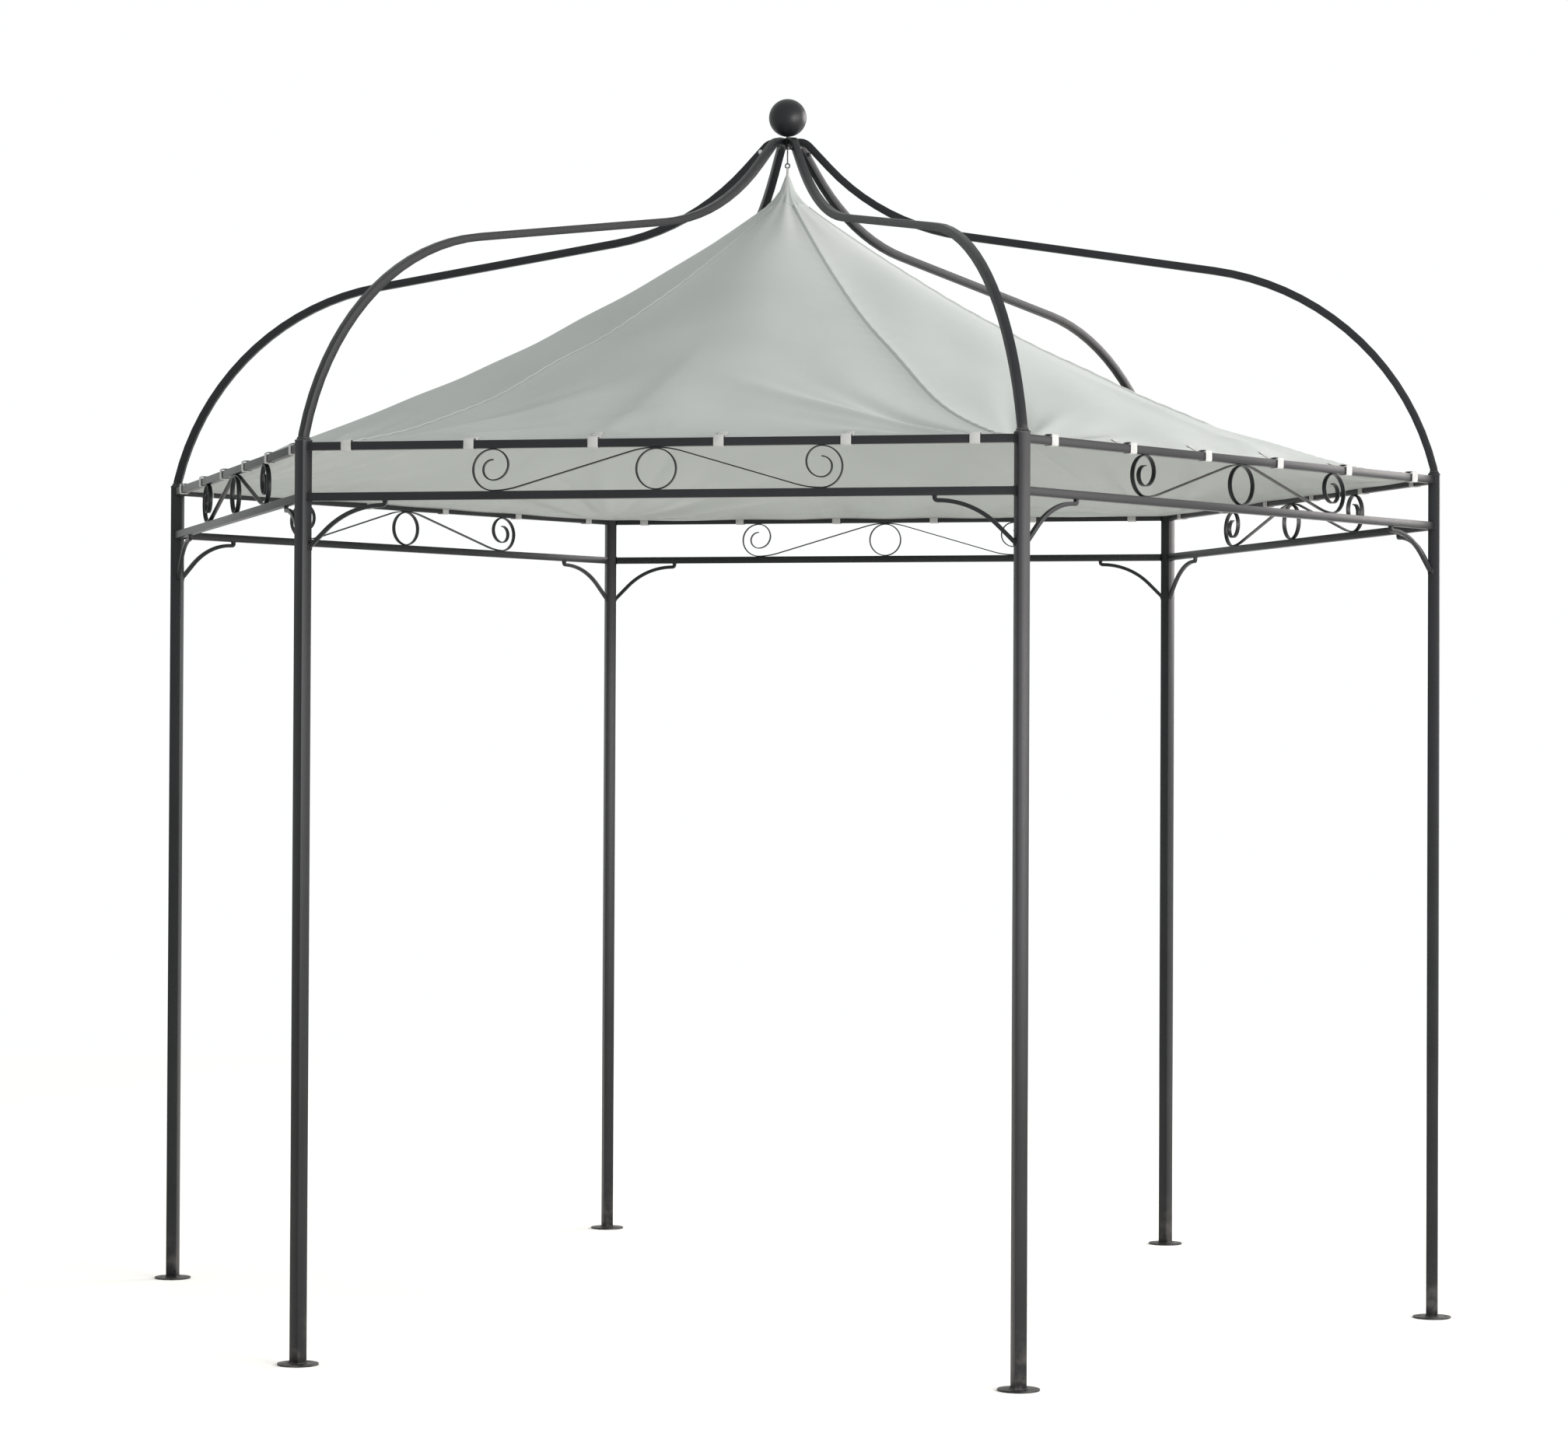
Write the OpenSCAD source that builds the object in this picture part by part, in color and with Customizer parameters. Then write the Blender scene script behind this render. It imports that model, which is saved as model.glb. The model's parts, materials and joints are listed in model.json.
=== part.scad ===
// Hexagonal garden gazebo in powder-coated steel tube. Six square posts on round foot plates
// carry an upper and a lower rail on each side, with a wrought scroll between them. Six bent ribs
// rise from the post tops to a hub with a ball finial. A peaked fabric canopy is strapped to the
// upper rails and hangs from an eye bolt under the hub.
// Millimetres, +Z up. The origin is on the ground at the centre, and post 1 stands on +X.

/* [Frame] */
// Distance from the centre to the middle of each post
corner_r = 1750; // [1500:10:2000]
// Height of the middle of the upper rails
upper_rail_z = 2211; // [2150:1:2300]
// Height of the middle of the lower rails
lower_rail_z = 2089; // [2060:1:2110]
// Width of the square rail tube
rail_w = 20; // [15:1:25]

/* [Posts] */
// Width of the square post tube
post_w = 30; // [28:1:40]
// Wall of the post tube
post_wall = 1.5; // [1:0.1:2]
// Height of the post's top above the upper rail
post_rise = 8; // [4:1:20]
// Depth of the moulded cap in the post's top
cap_h = 14; // [8:1:20]
// Width of the bevel around the cap
cap_bevel = 3; // [1:0.5:4]

/* [Foot plates] */
// Diameter of the foot plates
foot_d = 100; // [90:1:140]
// Thickness of the foot plates
foot_t = 4; // [3:0.5:8]
// Diameter of the anchor holes
anchor_d = 9; // [6:0.5:11]
// Distance between the two anchor holes of a plate
anchor_span = 70; // [66:1:72]

/* [Scrollwork] */
// Thickness of the scroll strip
strip_t = 3; // [2:0.5:5]
// Depth of the scroll strip, through the side
strip_d = 12; // [8:1:16]
// Distance of each volute from the middle of its side
volute_offset = 400; // [330:5:450]
// How much each half turn of a volute is tighter than the one before
volute_step = 12.5; // [8:0.5:15]
// Radius of the strip's bends between a volute and the crest
wave_r = 220; // [120:5:260]
// Depth of the weld between the ring and the strip over it
ring_weld = 0.5; // [0.2:0.1:1]

/* [Corner braces] */
// Width of the square brace bar
brace_w = 10; // [8:1:14]
// Distance along the rail from the post to the brace's turned-up tip
brace_reach = 206; // [170:2:260]
// Clear height between the brace bar and the rail over it
brace_drop = 6; // [4:1:15]
// Radius of the bend at the brace's turned-up tip
brace_tip_r = 7; // [7:1:8]
// Radius of the brace's bend
brace_r = 200; // [120:5:220]
// Slope at which a brace meets its post
brace_slope = 45; // [35:1:55]

/* [Ribs] */
// Width of the square rib tube
rib_w = 20; // [16:1:24]
// Length of the straight spigot inside the post
spigot_h = 60; // [40:1:100]
// Clearance of the spigot in the cap
spigot_clearance = 0.3; // [0.1:0.1:0.6]
// Radius of the small bend over the post
rib_foot_r = 60; // [40:5:90]
// Lean of the rib over the post, from upright
rib_lean = 14; // [8:1:18]
// Depth of the shoulder's upper end below the hub
shoulder_drop = 374; // [330:2:420]
// Slope of the long run between the shoulder and the sweep
run_slope = 9; // [7:0.5:12]
// Radius of the sweep up to the hub
sweep_r = 640; // [450:10:700]
// Slope of the rib under the hub
hub_slope = 47; // [38:1:50]
// Radius of the bend at the hub
hub_bend_r = 35; // [25:1:45]
// Distance from the centre to the end of the rib's level tip
hub_flat_r = 35; // [30:1:50]

/* [Hub and finial] */
// Height of the middle of the ribs' level ends
hub_z = 3150; // [3050:1:3250]
// Width of the hexagonal hub across its flats
hub_w = 40; // [38:1:50]
// Diameter of the ball finial
ball_d = 103; // [80:1:120]
// Clear height between the hub and the ball
ball_rise = 7; // [5:1:30]
// Diameter of the bolt through the hub
bolt_d = 8; // [6:1:10]
// Depth of the bolt in the ball
bolt_grip = 15; // [10:1:25]
// Clearance around the bolt
bolt_clearance = 0.2; // [0.1:0.1:0.5]
// Diameter of the wire of the eye
eye_wire_d = 4; // [3:0.5:6]
// Radius of the eye, to the middle of its wire
eye_r = 6; // [5:0.5:10]
// Distance from the hub down to the middle of the eye
eye_drop = 53; // [30:1:60]

/* [Canopy] */
// Thickness of the canopy solid
canopy_t = 3; // [2:0.5:6]
// Height of the hem's underside over the middle of the upper rails
hem_rise = 2; // [0:1:6]
// Distance of the canopy's corners from the posts
canopy_inset = 3; // [1:1:10]
// Height that the narrow peak adds
peak_h = 67; // [30:1:90]
// Radius over which the peak fades
peak_r = 18; // [10:1:40]
// Straight share of the seams' height, where the rest is a hollow curve
seam_straight = 0.22; // [0:0.01:1]
// How far each panel bellies out between its seams
belly_h = 98; // [0:1:130]
// Where the belly is fullest, over 1 for further out
belly_shift = 1.15; // [1:0.05:1.4]
// How full the belly is near the peak and the hem, lower for fuller
belly_edge = 0.7; // [0.5:0.05:1]
// Clearance between the canopy and what carries it
seat_clearance = 0.3; // [0.2:0.1:0.5]

/* [Straps] */
// Width of each strap around the upper rail
strap_w = 25; // [15:1:40]
// Thickness of the strap's webbing
strap_t = 2; // [1:0.5:3]
// Slack of the strap over the top of the rail
strap_slack = 4; // [0:1:8]
// Number of straps on a side
straps = 6; // [4:1:8]
// Distance from a post to the nearest strap
strap_end = 110; // [80:5:150]

/* [Hidden] */
$fn = 96;
SIDES = [1, 2, 3, 4, 5, 6];

sector = 60;
side_l = corner_r;
apothem = corner_r * cos(sector / 2);
post_top_z = upper_rail_z + rail_w / 2 + post_rise;
hub_top_z = hub_z + rib_w / 2;
hub_bottom_z = hub_z - rib_w / 2;

// Heights between the rails
scroll_low = lower_rail_z + rail_w / 2;
scroll_high = upper_rail_z - rail_w / 2;
wave_h = scroll_high - scroll_low - strip_t;

// The wave's two equal bends and the straight between them turn through this slope
wave_reach = 4 * wave_r - wave_h;
wave_slope = 2 * atan((volute_offset - sqrt(volute_offset ^ 2 - wave_h * wave_reach)) / wave_reach);
wave_straight = (wave_h - 2 * wave_r * (1 - cos(wave_slope))) / sin(wave_slope);

// The rib's bends fix these points, and its two straights close the path between them
shoulder_turn = 90 - rib_lean - run_slope;
shoulder_rise = hub_z - shoulder_drop - post_top_z - rib_foot_r * sin(rib_lean);
shoulder_r = shoulder_rise / (cos(run_slope) - sin(rib_lean));
shoulder_start = [-rib_foot_r * (1 - cos(rib_lean)), rib_foot_r * sin(rib_lean)];
shoulder_move = shoulder_r * [sin(run_slope) - cos(rib_lean), cos(run_slope) - sin(rib_lean)];
sweep_move = sweep_r * [sin(run_slope) - sin(hub_slope), cos(run_slope) - cos(hub_slope)];
hub_move = hub_bend_r * [-sin(hub_slope), 1 - cos(hub_slope)];
rib_straights = [hub_flat_r - corner_r, hub_z - post_top_z]
    - shoulder_start - shoulder_move - sweep_move - hub_move;
straights_det = sin(hub_slope - run_slope);
run_l = -(rib_straights.x * sin(hub_slope) + rib_straights.y * cos(hub_slope)) / straights_det;
rise_l = (rib_straights.x * sin(run_slope) + rib_straights.y * cos(run_slope)) / straights_det;

// The straps around the rails, and the canopy inside them, whose heights are at its underside
strap_in = rail_w + 2 * seat_clearance;
strap_out = strap_in + 2 * strap_t;
canopy_apothem = apothem - strap_out / 2 - seat_clearance;
canopy_edge_z = upper_rail_z + hem_rise;
eye_z = hub_bottom_z - eye_drop;
canopy_peak_z = eye_z - eye_r - eye_wire_d / 2 - seat_clearance - canopy_t;
canopy_rise = canopy_peak_z - canopy_edge_z - peak_h;
canopy_rings = 18;
canopy_steps = 6;

// The rings of the canopy's facets lie closer together near its peak
ring_crowding = 1.4;

// Each bend is drawn in steps of this many degrees, or less
bend_step = 4;
half_turns = 3;

// Places its children at post i, with x outwards along the radius
module at_post(i) {
    rotate([0, 0, sector * (i - 1)]) translate([corner_r, 0, 0]) children();
}

// Places its children on side i, from post i to the next one, with x along the side and y inwards
module on_side(i) {
    rotate([0, 0, sector * (i - 0.5)]) translate([apothem, 0, 0]) rotate([0, 0, 90]) children();
}

// Trims what runs along a side flush with the faces of the two posts
module between_posts() {
    difference() {
        children();
        for (end = [0, 1])
            mirror([end, 0, 0]) translate([side_l / 2, 0, 0]) rotate([0, 0, sector / 2])
                translate([-post_w / 2, -side_l / 2, 0]) cube([side_l, side_l, hub_z]);
    }
}

// Where one move of a path leads, as [x, z, heading] points. A move is [length, 0] for a straight or
// [radius, turn] for a bend, which goes to the left where turn is positive.
function moved(at, move) =
    let (turn = move[1], r = sign(turn) * move[0], n = ceil(abs(turn) / bend_step))
    turn == 0
    ? [at + [move[0] * cos(at.z), move[0] * sin(at.z), 0]]
    : [for (k = [1:n]) let (heading = at.z + turn * k / n)
        [at.x + r * (sin(heading) - sin(at.z)), at.y + r * (cos(at.z) - cos(heading)), heading]];

// All the points of a path that makes the moves one after another
function trace(at, moves, n = 0) =
    n == len(moves) ? [at]
    : let (points = moved(at, moves[n]), last = len(points) - 1)
      concat([at], [for (k = [0:1:last - 1]) points[k]], trace(points[last], moves, n + 1));

// A bent bar along a path in the xz plane, w wide and d deep
module bent_bar(path, w, d) {
    left = [for (p = path) [p.x - w / 2 * sin(p.z), p.y + w / 2 * cos(p.z)]];
    right = [for (p = path) [p.x + w / 2 * sin(p.z), p.y - w / 2 * cos(p.z)]];
    back = [for (n = [len(path) - 1:-1:0]) right[n]];
    rotate([90, 0, 0]) linear_extrude(d, center = true) polygon(concat(left, back));
}

// Square tube with a bevelled cap that takes the rib's spigot
module post(i) {
    bore = post_w - 2 * post_wall;
    socket = rib_w + 2 * spigot_clearance;
    color("#2d2f33") at_post(i) difference() {
        translate([-post_w / 2, -post_w / 2, foot_t])
            cube([post_w, post_w, post_top_z - foot_t]);
        translate([-bore / 2, -bore / 2, 0]) cube([bore, bore, post_top_z - cap_h]);
        translate([-socket / 2, -socket / 2, 0]) cube([socket, socket, post_top_z + cap_h]);
        for (turn = [0, 90, 180, 270])
            rotate([0, 0, turn]) translate([post_w / 2 - cap_bevel, 0, post_top_z])
                rotate([0, 45, 0]) translate([-cap_h, -post_w, 0]) cube([2 * cap_h, 2 * post_w, cap_h]);
    }
}

// Round plates with an anchor hole inside and outside the post
module foot_plates() {
    color("#2d2f33") for (i = SIDES) at_post(i) difference() {
        cylinder(d = foot_d, h = foot_t);
        for (side = [-1, 1])
            translate([side * anchor_span / 2, 0, -1]) cylinder(d = anchor_d, h = foot_t + 2);
    }
}

// Square tube from post to post
module rail(i, z) {
    color("#2d2f33") on_side(i) between_posts()
        translate([0, 0, z]) cube([side_l, rail_w, rail_w], center = true);
}

// Wrought strip that runs down both ways from its crest to a volute, with a ring under the crest
module scroll(i) {
    ring_r = (wave_h + ring_weld) / 2;
    wave = [[wave_r, -wave_slope], [wave_straight, 0], [wave_r, wave_slope]];
    volute = [for (n = [0:half_turns - 1]) [wave_h / 2 - n * volute_step, 180]];
    half = trace([0, scroll_high - strip_t / 2, 0], concat(wave, volute));
    other_half = [for (n = [len(half) - 1:-1:1]) [-half[n].x, half[n].y, -half[n].z]];
    color("#2d2f33") on_side(i) {
        bent_bar(concat(other_half, half), strip_t, strip_d);
        translate([0, strip_d / 2, scroll_low + ring_r]) rotate([90, 0, 0]) difference() {
            cylinder(r = ring_r, h = strip_d);
            translate([0, 0, -1]) cylinder(r = ring_r - strip_t, h = strip_d + 2);
        }
    }
}

// One brace at the end of a side: a turned-up tip under the rail and a bar that bends down to the post
module brace() {
    drop = brace_drop + brace_w / 2;
    tip = [side_l / 2 - brace_reach, lower_rail_z - rail_w / 2, -90];
    bent_bar(trace(tip, [[drop - brace_tip_r, 0], [brace_tip_r, 90], [brace_r, -brace_slope],
        [brace_reach, 0]]), brace_w, brace_w);
}

// The two braces at post i, one under the rail on each side of it
module corner_brace(i) {
    color("#2d2f33") {
        on_side(i) between_posts() mirror([1, 0, 0]) brace();
        on_side(i - 1) between_posts() brace();
    }
}

// Bent tube from its spigot in the post, over the shoulder and up the sweep to the hub
module rib(i) {
    color("#2d2f33") at_post(i) bent_bar(trace([0, post_top_z - spigot_h, 90], [
        [spigot_h, 0],
        [rib_foot_r, rib_lean],
        [shoulder_r, shoulder_turn],
        [run_l, 0],
        [sweep_r, run_slope - hub_slope],
        [rise_l, 0],
        [hub_bend_r, hub_slope],
        [hub_flat_r - hub_w / 2, 0]]), rib_w, rib_w);
}

// Hexagonal boss whose flats meet the six ribs
module crown_hub() {
    color("#2d2f33") difference() {
        translate([0, 0, hub_bottom_z]) rotate([0, 0, sector / 2])
            cylinder(d = hub_w / cos(sector / 2), h = rib_w, $fn = 6);
        translate([0, 0, hub_bottom_z - 1])
            cylinder(d = bolt_d + 2 * bolt_clearance, h = rib_w + 2);
    }
}

module finial_ball() {
    color("#2d2f33") translate([0, 0, hub_top_z + ball_rise]) difference() {
        translate([0, 0, ball_d / 2]) sphere(d = ball_d);
        translate([0, 0, -1]) cylinder(d = bolt_d + 2 * bolt_clearance, h = bolt_grip + 1);
    }
}

// Bolt through the hub, with the ball on its top end and an eye on its bottom end
module eye_bolt() {
    bolt_bottom = hub_bottom_z - bolt_d;
    color("#b9bcc0") {
        translate([0, 0, bolt_bottom])
            cylinder(d = bolt_d, h = hub_top_z + ball_rise + bolt_grip - bolt_bottom);
        translate([0, 0, eye_z + eye_r]) cylinder(d = eye_wire_d, h = bolt_bottom - eye_z - eye_r);
        translate([0, 0, eye_z]) rotate([90, 0, 0])
            rotate_extrude() translate([eye_r, 0]) circle(d = eye_wire_d, $fn = 32);
    }
}

// Height of the canopy's underside where the seams have come out to the share t of the way to the
// posts, at an angle from the middle of the panel
function canopy_z(t, angle) =
    canopy_edge_z + canopy_rise * ((1 - seam_straight) * (1 - t) ^ 2 + seam_straight * (1 - t))
    + peak_h * exp(-t * corner_r / peak_r)
    + belly_h * abs(sin(180 * t ^ belly_shift)) ^ belly_edge * cos(3 * angle);

// A point of the canopy on ring n of its rings and step k around it
function canopy_point(n, k) =
    let (t = (n / canopy_rings) ^ ring_crowding,
         angle = (k % canopy_steps) / canopy_steps * sector - sector / 2,
         corner = corner_r - post_w / 2 - canopy_inset,
         r = min(t * canopy_apothem / cos(angle), corner),
         turn = k / canopy_steps * sector)
    [r * cos(turn), r * sin(turn), canopy_z(t, angle)];

// Six-panelled tent skin with hollow seams and panels that belly out between them
module canopy() {
    around_n = 6 * canopy_steps;
    skin_n = 1 + canopy_rings * around_n;
    skin = concat([canopy_point(0, 0)],
        [for (n = [1:canopy_rings], k = [0:around_n - 1]) canopy_point(n, k)]);
    over = [for (p = skin) p + [0, 0, canopy_t]];
    function id(n, k) = n == 0 ? 0 : 1 + (n - 1) * around_n + k % around_n;
    peak = [for (k = [0:around_n - 1]) [0, id(1, k + 1), id(1, k)]];
    rings = [for (n = [1:canopy_rings - 1], k = [0:around_n - 1], half = [0, 1]) half == 0
        ? [id(n, k), id(n, k + 1), id(n + 1, k + 1)]
        : [id(n, k), id(n + 1, k + 1), id(n + 1, k)]];
    hem = [for (k = [0:around_n - 1], half = [0, 1])
        let (a = id(canopy_rings, k), b = id(canopy_rings, k + 1))
        half == 0 ? [a, b, b + skin_n] : [a, b + skin_n, a + skin_n]];
    over_faces = concat(peak, rings);
    under_faces = [for (f = over_faces) [f[2], f[1], f[0]]];
    color("#c4c8c2") polyhedron(
        points = concat(skin, over),
        faces = concat(under_faces, [for (f = over_faces) f + [skin_n, skin_n, skin_n]],
            [for (f = hem) [f[2], f[1], f[0]]]));
}

// Loops of webbing that hold the canopy's hem to the upper rails, slack over the rail
module canopy_straps() {
    pitch = (side_l - 2 * strap_end) / (straps - 1);
    color("#e6e8e6") for (i = SIDES, n = [0:straps - 1])
        on_side(i) translate([strap_end - side_l / 2 + n * pitch, 0, upper_rail_z + strap_slack / 2])
            difference() {
                cube([strap_w, strap_out, strap_out + strap_slack], center = true);
                cube([2 * strap_w, strap_in, strap_in + strap_slack], center = true);
            }
}

for (i = SIDES) {
    post(i);
    rail(i, upper_rail_z);
    rail(i, lower_rail_z);
    scroll(i);
    corner_brace(i);
    rib(i);
}
foot_plates();
crown_hub();
finial_ball();
eye_bolt();
canopy();
canopy_straps();
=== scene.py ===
"""Dresses a hexagonal garden gazebo in its finishes around the fixed CAD frame.

Metres, +Z up. The origin is on the ground at the centre, post 1 stands on +X, and the front side,
between posts 5 and 6, faces -Y.
"""

import itertools
import json
import logging
import math
from collections.abc import Callable, Sequence
from dataclasses import dataclass
from enum import Enum
from functools import partial
from typing import Any, NamedTuple

import bmesh
import bpy
import numpy as np
from mathutils import Matrix, Vector

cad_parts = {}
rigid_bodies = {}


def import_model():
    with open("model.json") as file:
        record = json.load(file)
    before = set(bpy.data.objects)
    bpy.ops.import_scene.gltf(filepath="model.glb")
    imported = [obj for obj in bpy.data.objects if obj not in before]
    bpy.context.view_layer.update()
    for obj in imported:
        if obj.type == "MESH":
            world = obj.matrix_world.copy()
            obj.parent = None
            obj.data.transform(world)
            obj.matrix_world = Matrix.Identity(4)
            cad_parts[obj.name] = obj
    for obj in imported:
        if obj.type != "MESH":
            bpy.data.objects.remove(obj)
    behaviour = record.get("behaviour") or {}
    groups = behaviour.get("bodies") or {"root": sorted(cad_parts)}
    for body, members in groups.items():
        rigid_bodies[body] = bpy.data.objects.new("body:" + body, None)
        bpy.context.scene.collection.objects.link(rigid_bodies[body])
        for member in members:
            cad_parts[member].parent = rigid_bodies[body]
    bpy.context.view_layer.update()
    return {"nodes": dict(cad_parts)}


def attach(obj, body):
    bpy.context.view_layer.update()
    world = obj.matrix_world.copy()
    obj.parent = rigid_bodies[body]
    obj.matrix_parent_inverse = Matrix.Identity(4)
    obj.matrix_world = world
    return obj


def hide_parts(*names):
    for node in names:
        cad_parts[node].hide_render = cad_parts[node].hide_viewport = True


for leftover in list(bpy.data.objects):
    bpy.data.objects.remove(leftover)
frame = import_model()

LOG = logging.getLogger("gazebo")
BODY = "root"
SIDES = range(1, 7)
SECTOR = math.radians(60.0)
TURN = 2.0 * math.pi
UP = Vector((0.0, 0.0, 1.0))
SQUARE = ((1, 1), (-1, 1), (-1, -1), (1, -1))

Array = np.ndarray
Colour = tuple[float, float, float, float]
Triple = tuple[float, float, float]
Pair = tuple[float, float]
Place = Callable[[Array, Array], tuple[Array, Array, Array]]


class Slot(Enum):
    """The record's material slots."""

    FRAME = "frame_paint"
    ZINC = "zinc"
    CANOPY = "canopy_fabric"
    WEBBING = "strap_webbing"


# ---------------------------------------------------------------- shader tools


class Signal:
    """One output of a shader node. Arithmetic on it adds Math nodes to the same tree."""

    def __init__(self, recipe: "Recipe", socket: bpy.types.NodeSocket) -> None:
        """Wraps an output socket of the recipe's tree."""
        self.recipe = recipe
        self.socket = socket

    def math(self, operation: str, *terms: "Signal | float", clamp: bool = False) -> "Signal":
        """Adds one Math node.

        Args:
            operation: The node's operation, such as MULTIPLY.
            terms: Its values or signals, in order.
            clamp: Whether the result stays between 0 and 1.

        Returns:
            The node's result.
        """
        settings = {"operation": operation, "use_clamp": clamp}
        return self.recipe.node("ShaderNodeMath", settings, dict(enumerate(terms)))

    def part(self, name: str) -> "Signal":
        """Returns another output of the same node."""
        return Signal(self.recipe, self.socket.node.outputs[name])

    def __add__(self, other: "Signal | float") -> "Signal":
        """Returns self + other."""
        return self.math("ADD", self, other)

    def __radd__(self, other: float) -> "Signal":
        """Returns other + self."""
        return self.math("ADD", other, self)

    def __sub__(self, other: "Signal | float") -> "Signal":
        """Returns self - other."""
        return self.math("SUBTRACT", self, other)

    def __rsub__(self, other: float) -> "Signal":
        """Returns other - self."""
        return self.math("SUBTRACT", other, self)

    def __mul__(self, other: "Signal | float") -> "Signal":
        """Returns self * other."""
        return self.math("MULTIPLY", self, other)

    def sine(self) -> "Signal":
        """Returns the sine of self, in radians."""
        return self.math("SINE", self)

    def size(self) -> "Signal":
        """Returns self without its sign."""
        return self.math("ABSOLUTE", self)

    def limited(self) -> "Signal":
        """Returns self between 0 and 1."""
        return self.math("ADD", self, 0.0, clamp=True)

    def step(self, low: float, high: float) -> "Signal":
        """Returns a smooth step of self, from 0 at low to 1 at high."""
        settings = {"interpolation_type": "SMOOTHSTEP"}
        sockets = {"Value": self, "From Min": low, "From Max": high}
        return self.recipe.node("ShaderNodeMapRange", settings, sockets)


class Recipe:
    """The node tree of one material, of the world, or of a group."""

    def __init__(self, tree: bpy.types.NodeTree) -> None:
        """Empties the tree to build it anew."""
        self.tree = tree
        self.tree.nodes.clear()

    def end(self, kind: str, result: Signal) -> None:
        """Ends the tree in an output node of that kind."""
        node = self.tree.nodes.new(kind)
        self.tree.links.new(result.socket, node.inputs[0])

    def node(self, kind: str, settings: dict[str, Any] | None = None,
             sockets: dict[str | int, Any] | None = None, output: str | int = 0) -> Signal:
        """Adds any node with an output.

        Args:
            kind: The node's type.
            settings: Its own settings, which are set before its sockets.
            sockets: A value or signal for each named or numbered input.
            output: The output to return.

        Returns:
            The chosen output.
        """
        node = self.tree.nodes.new(kind)
        for name, value in (settings or {}).items():
            setattr(node, name, value)
        for name, value in (sockets or {}).items():
            if isinstance(value, Signal):
                self.tree.links.new(value.socket, node.inputs[name])
            else:
                node.inputs[name].default_value = value
        return Signal(self, node.outputs[output])

    def coords(self) -> Signal:
        """Returns object coordinates, which are the gazebo's own metres."""
        return self.node("ShaderNodeTexCoord", output="Object")

    def split(self, vector: Signal) -> Signal:
        """Returns the X of a vector, whose other parts are Y and Z."""
        return self.node("ShaderNodeSeparateXYZ", sockets={0: vector})

    def cut(self) -> Signal:
        """Returns the flat place in the cloth, as it was cut."""
        return self.node("ShaderNodeAttribute", {"attribute_name": "cut"}, output="Vector")

    def noise(self, coords: Signal, scale: float, detail: float = 2.0, rough: float = 0.5) -> Signal:
        """Adds a noise texture.

        Args:
            coords: Where it is read.
            scale: Its patches per metre.
            detail: Its octaves.
            rough: The weight of its finer octaves.

        Returns:
            Its value, mostly between 0.3 and 0.7.
        """
        sockets = {"Vector": coords, "Scale": scale, "Detail": detail, "Roughness": rough}
        return self.node("ShaderNodeTexNoise", sockets=sockets)

    def stretched(self, coords: Signal, factors: Triple) -> Signal:
        """Returns coordinates scaled by a factor along each axis."""
        return self.node("ShaderNodeVectorMath", {"operation": "MULTIPLY"}, {0: coords, 1: factors})

    def mixed(self, share: Signal | float, first: Signal | Colour, second: Signal | Colour) -> Signal:
        """Returns a colour between two, where share 1 is the second."""
        colour_sockets = {0: share, 6: first, 7: second}
        return self.node("ShaderNodeMix", {"data_type": "RGBA"}, colour_sockets, output=2)

    def bump(self, height: Signal, depth: float, strength: float,
             under: Signal | None = None) -> Signal:
        """Adds relief.

        Args:
            height: The relief, where 1 is highest.
            depth: How far 0 lies below 1, in metres.
            strength: How much of it shows.
            under: Coarser relief that it lies on.

        Returns:
            The bumped normal.
        """
        sockets: dict[str | int, Any] = {"Height": height, "Distance": depth, "Strength": strength}
        if under is not None:
            sockets["Normal"] = under
        return self.node("ShaderNodeBump", sockets=sockets)


# ---------------------------------------------------------------- finishes


@dataclass(frozen=True)
class Finish:
    """A procedural finish of that name."""

    name: str

    def looks(self, recipe: Recipe, coords: Signal) -> dict[str, Any]:
        """Adds the finish's own nodes.

        Args:
            recipe: The material's tree.
            coords: The place on the gazebo, in metres.

        Returns:
            The shader's inputs by name, with an underscore for each space.
        """
        raise NotImplementedError

    def material(self) -> bpy.types.Material:
        """Returns the finished material."""
        material = bpy.data.materials.new(self.name)
        material.use_nodes = True
        recipe = Recipe(material.node_tree)
        looks = self.looks(recipe, recipe.coords())
        sockets = {name.replace("_", " "): value for name, value in looks.items()}
        recipe.end("ShaderNodeOutputMaterial", recipe.node("ShaderNodeBsdfPrincipled", sockets=sockets))
        return material


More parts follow.
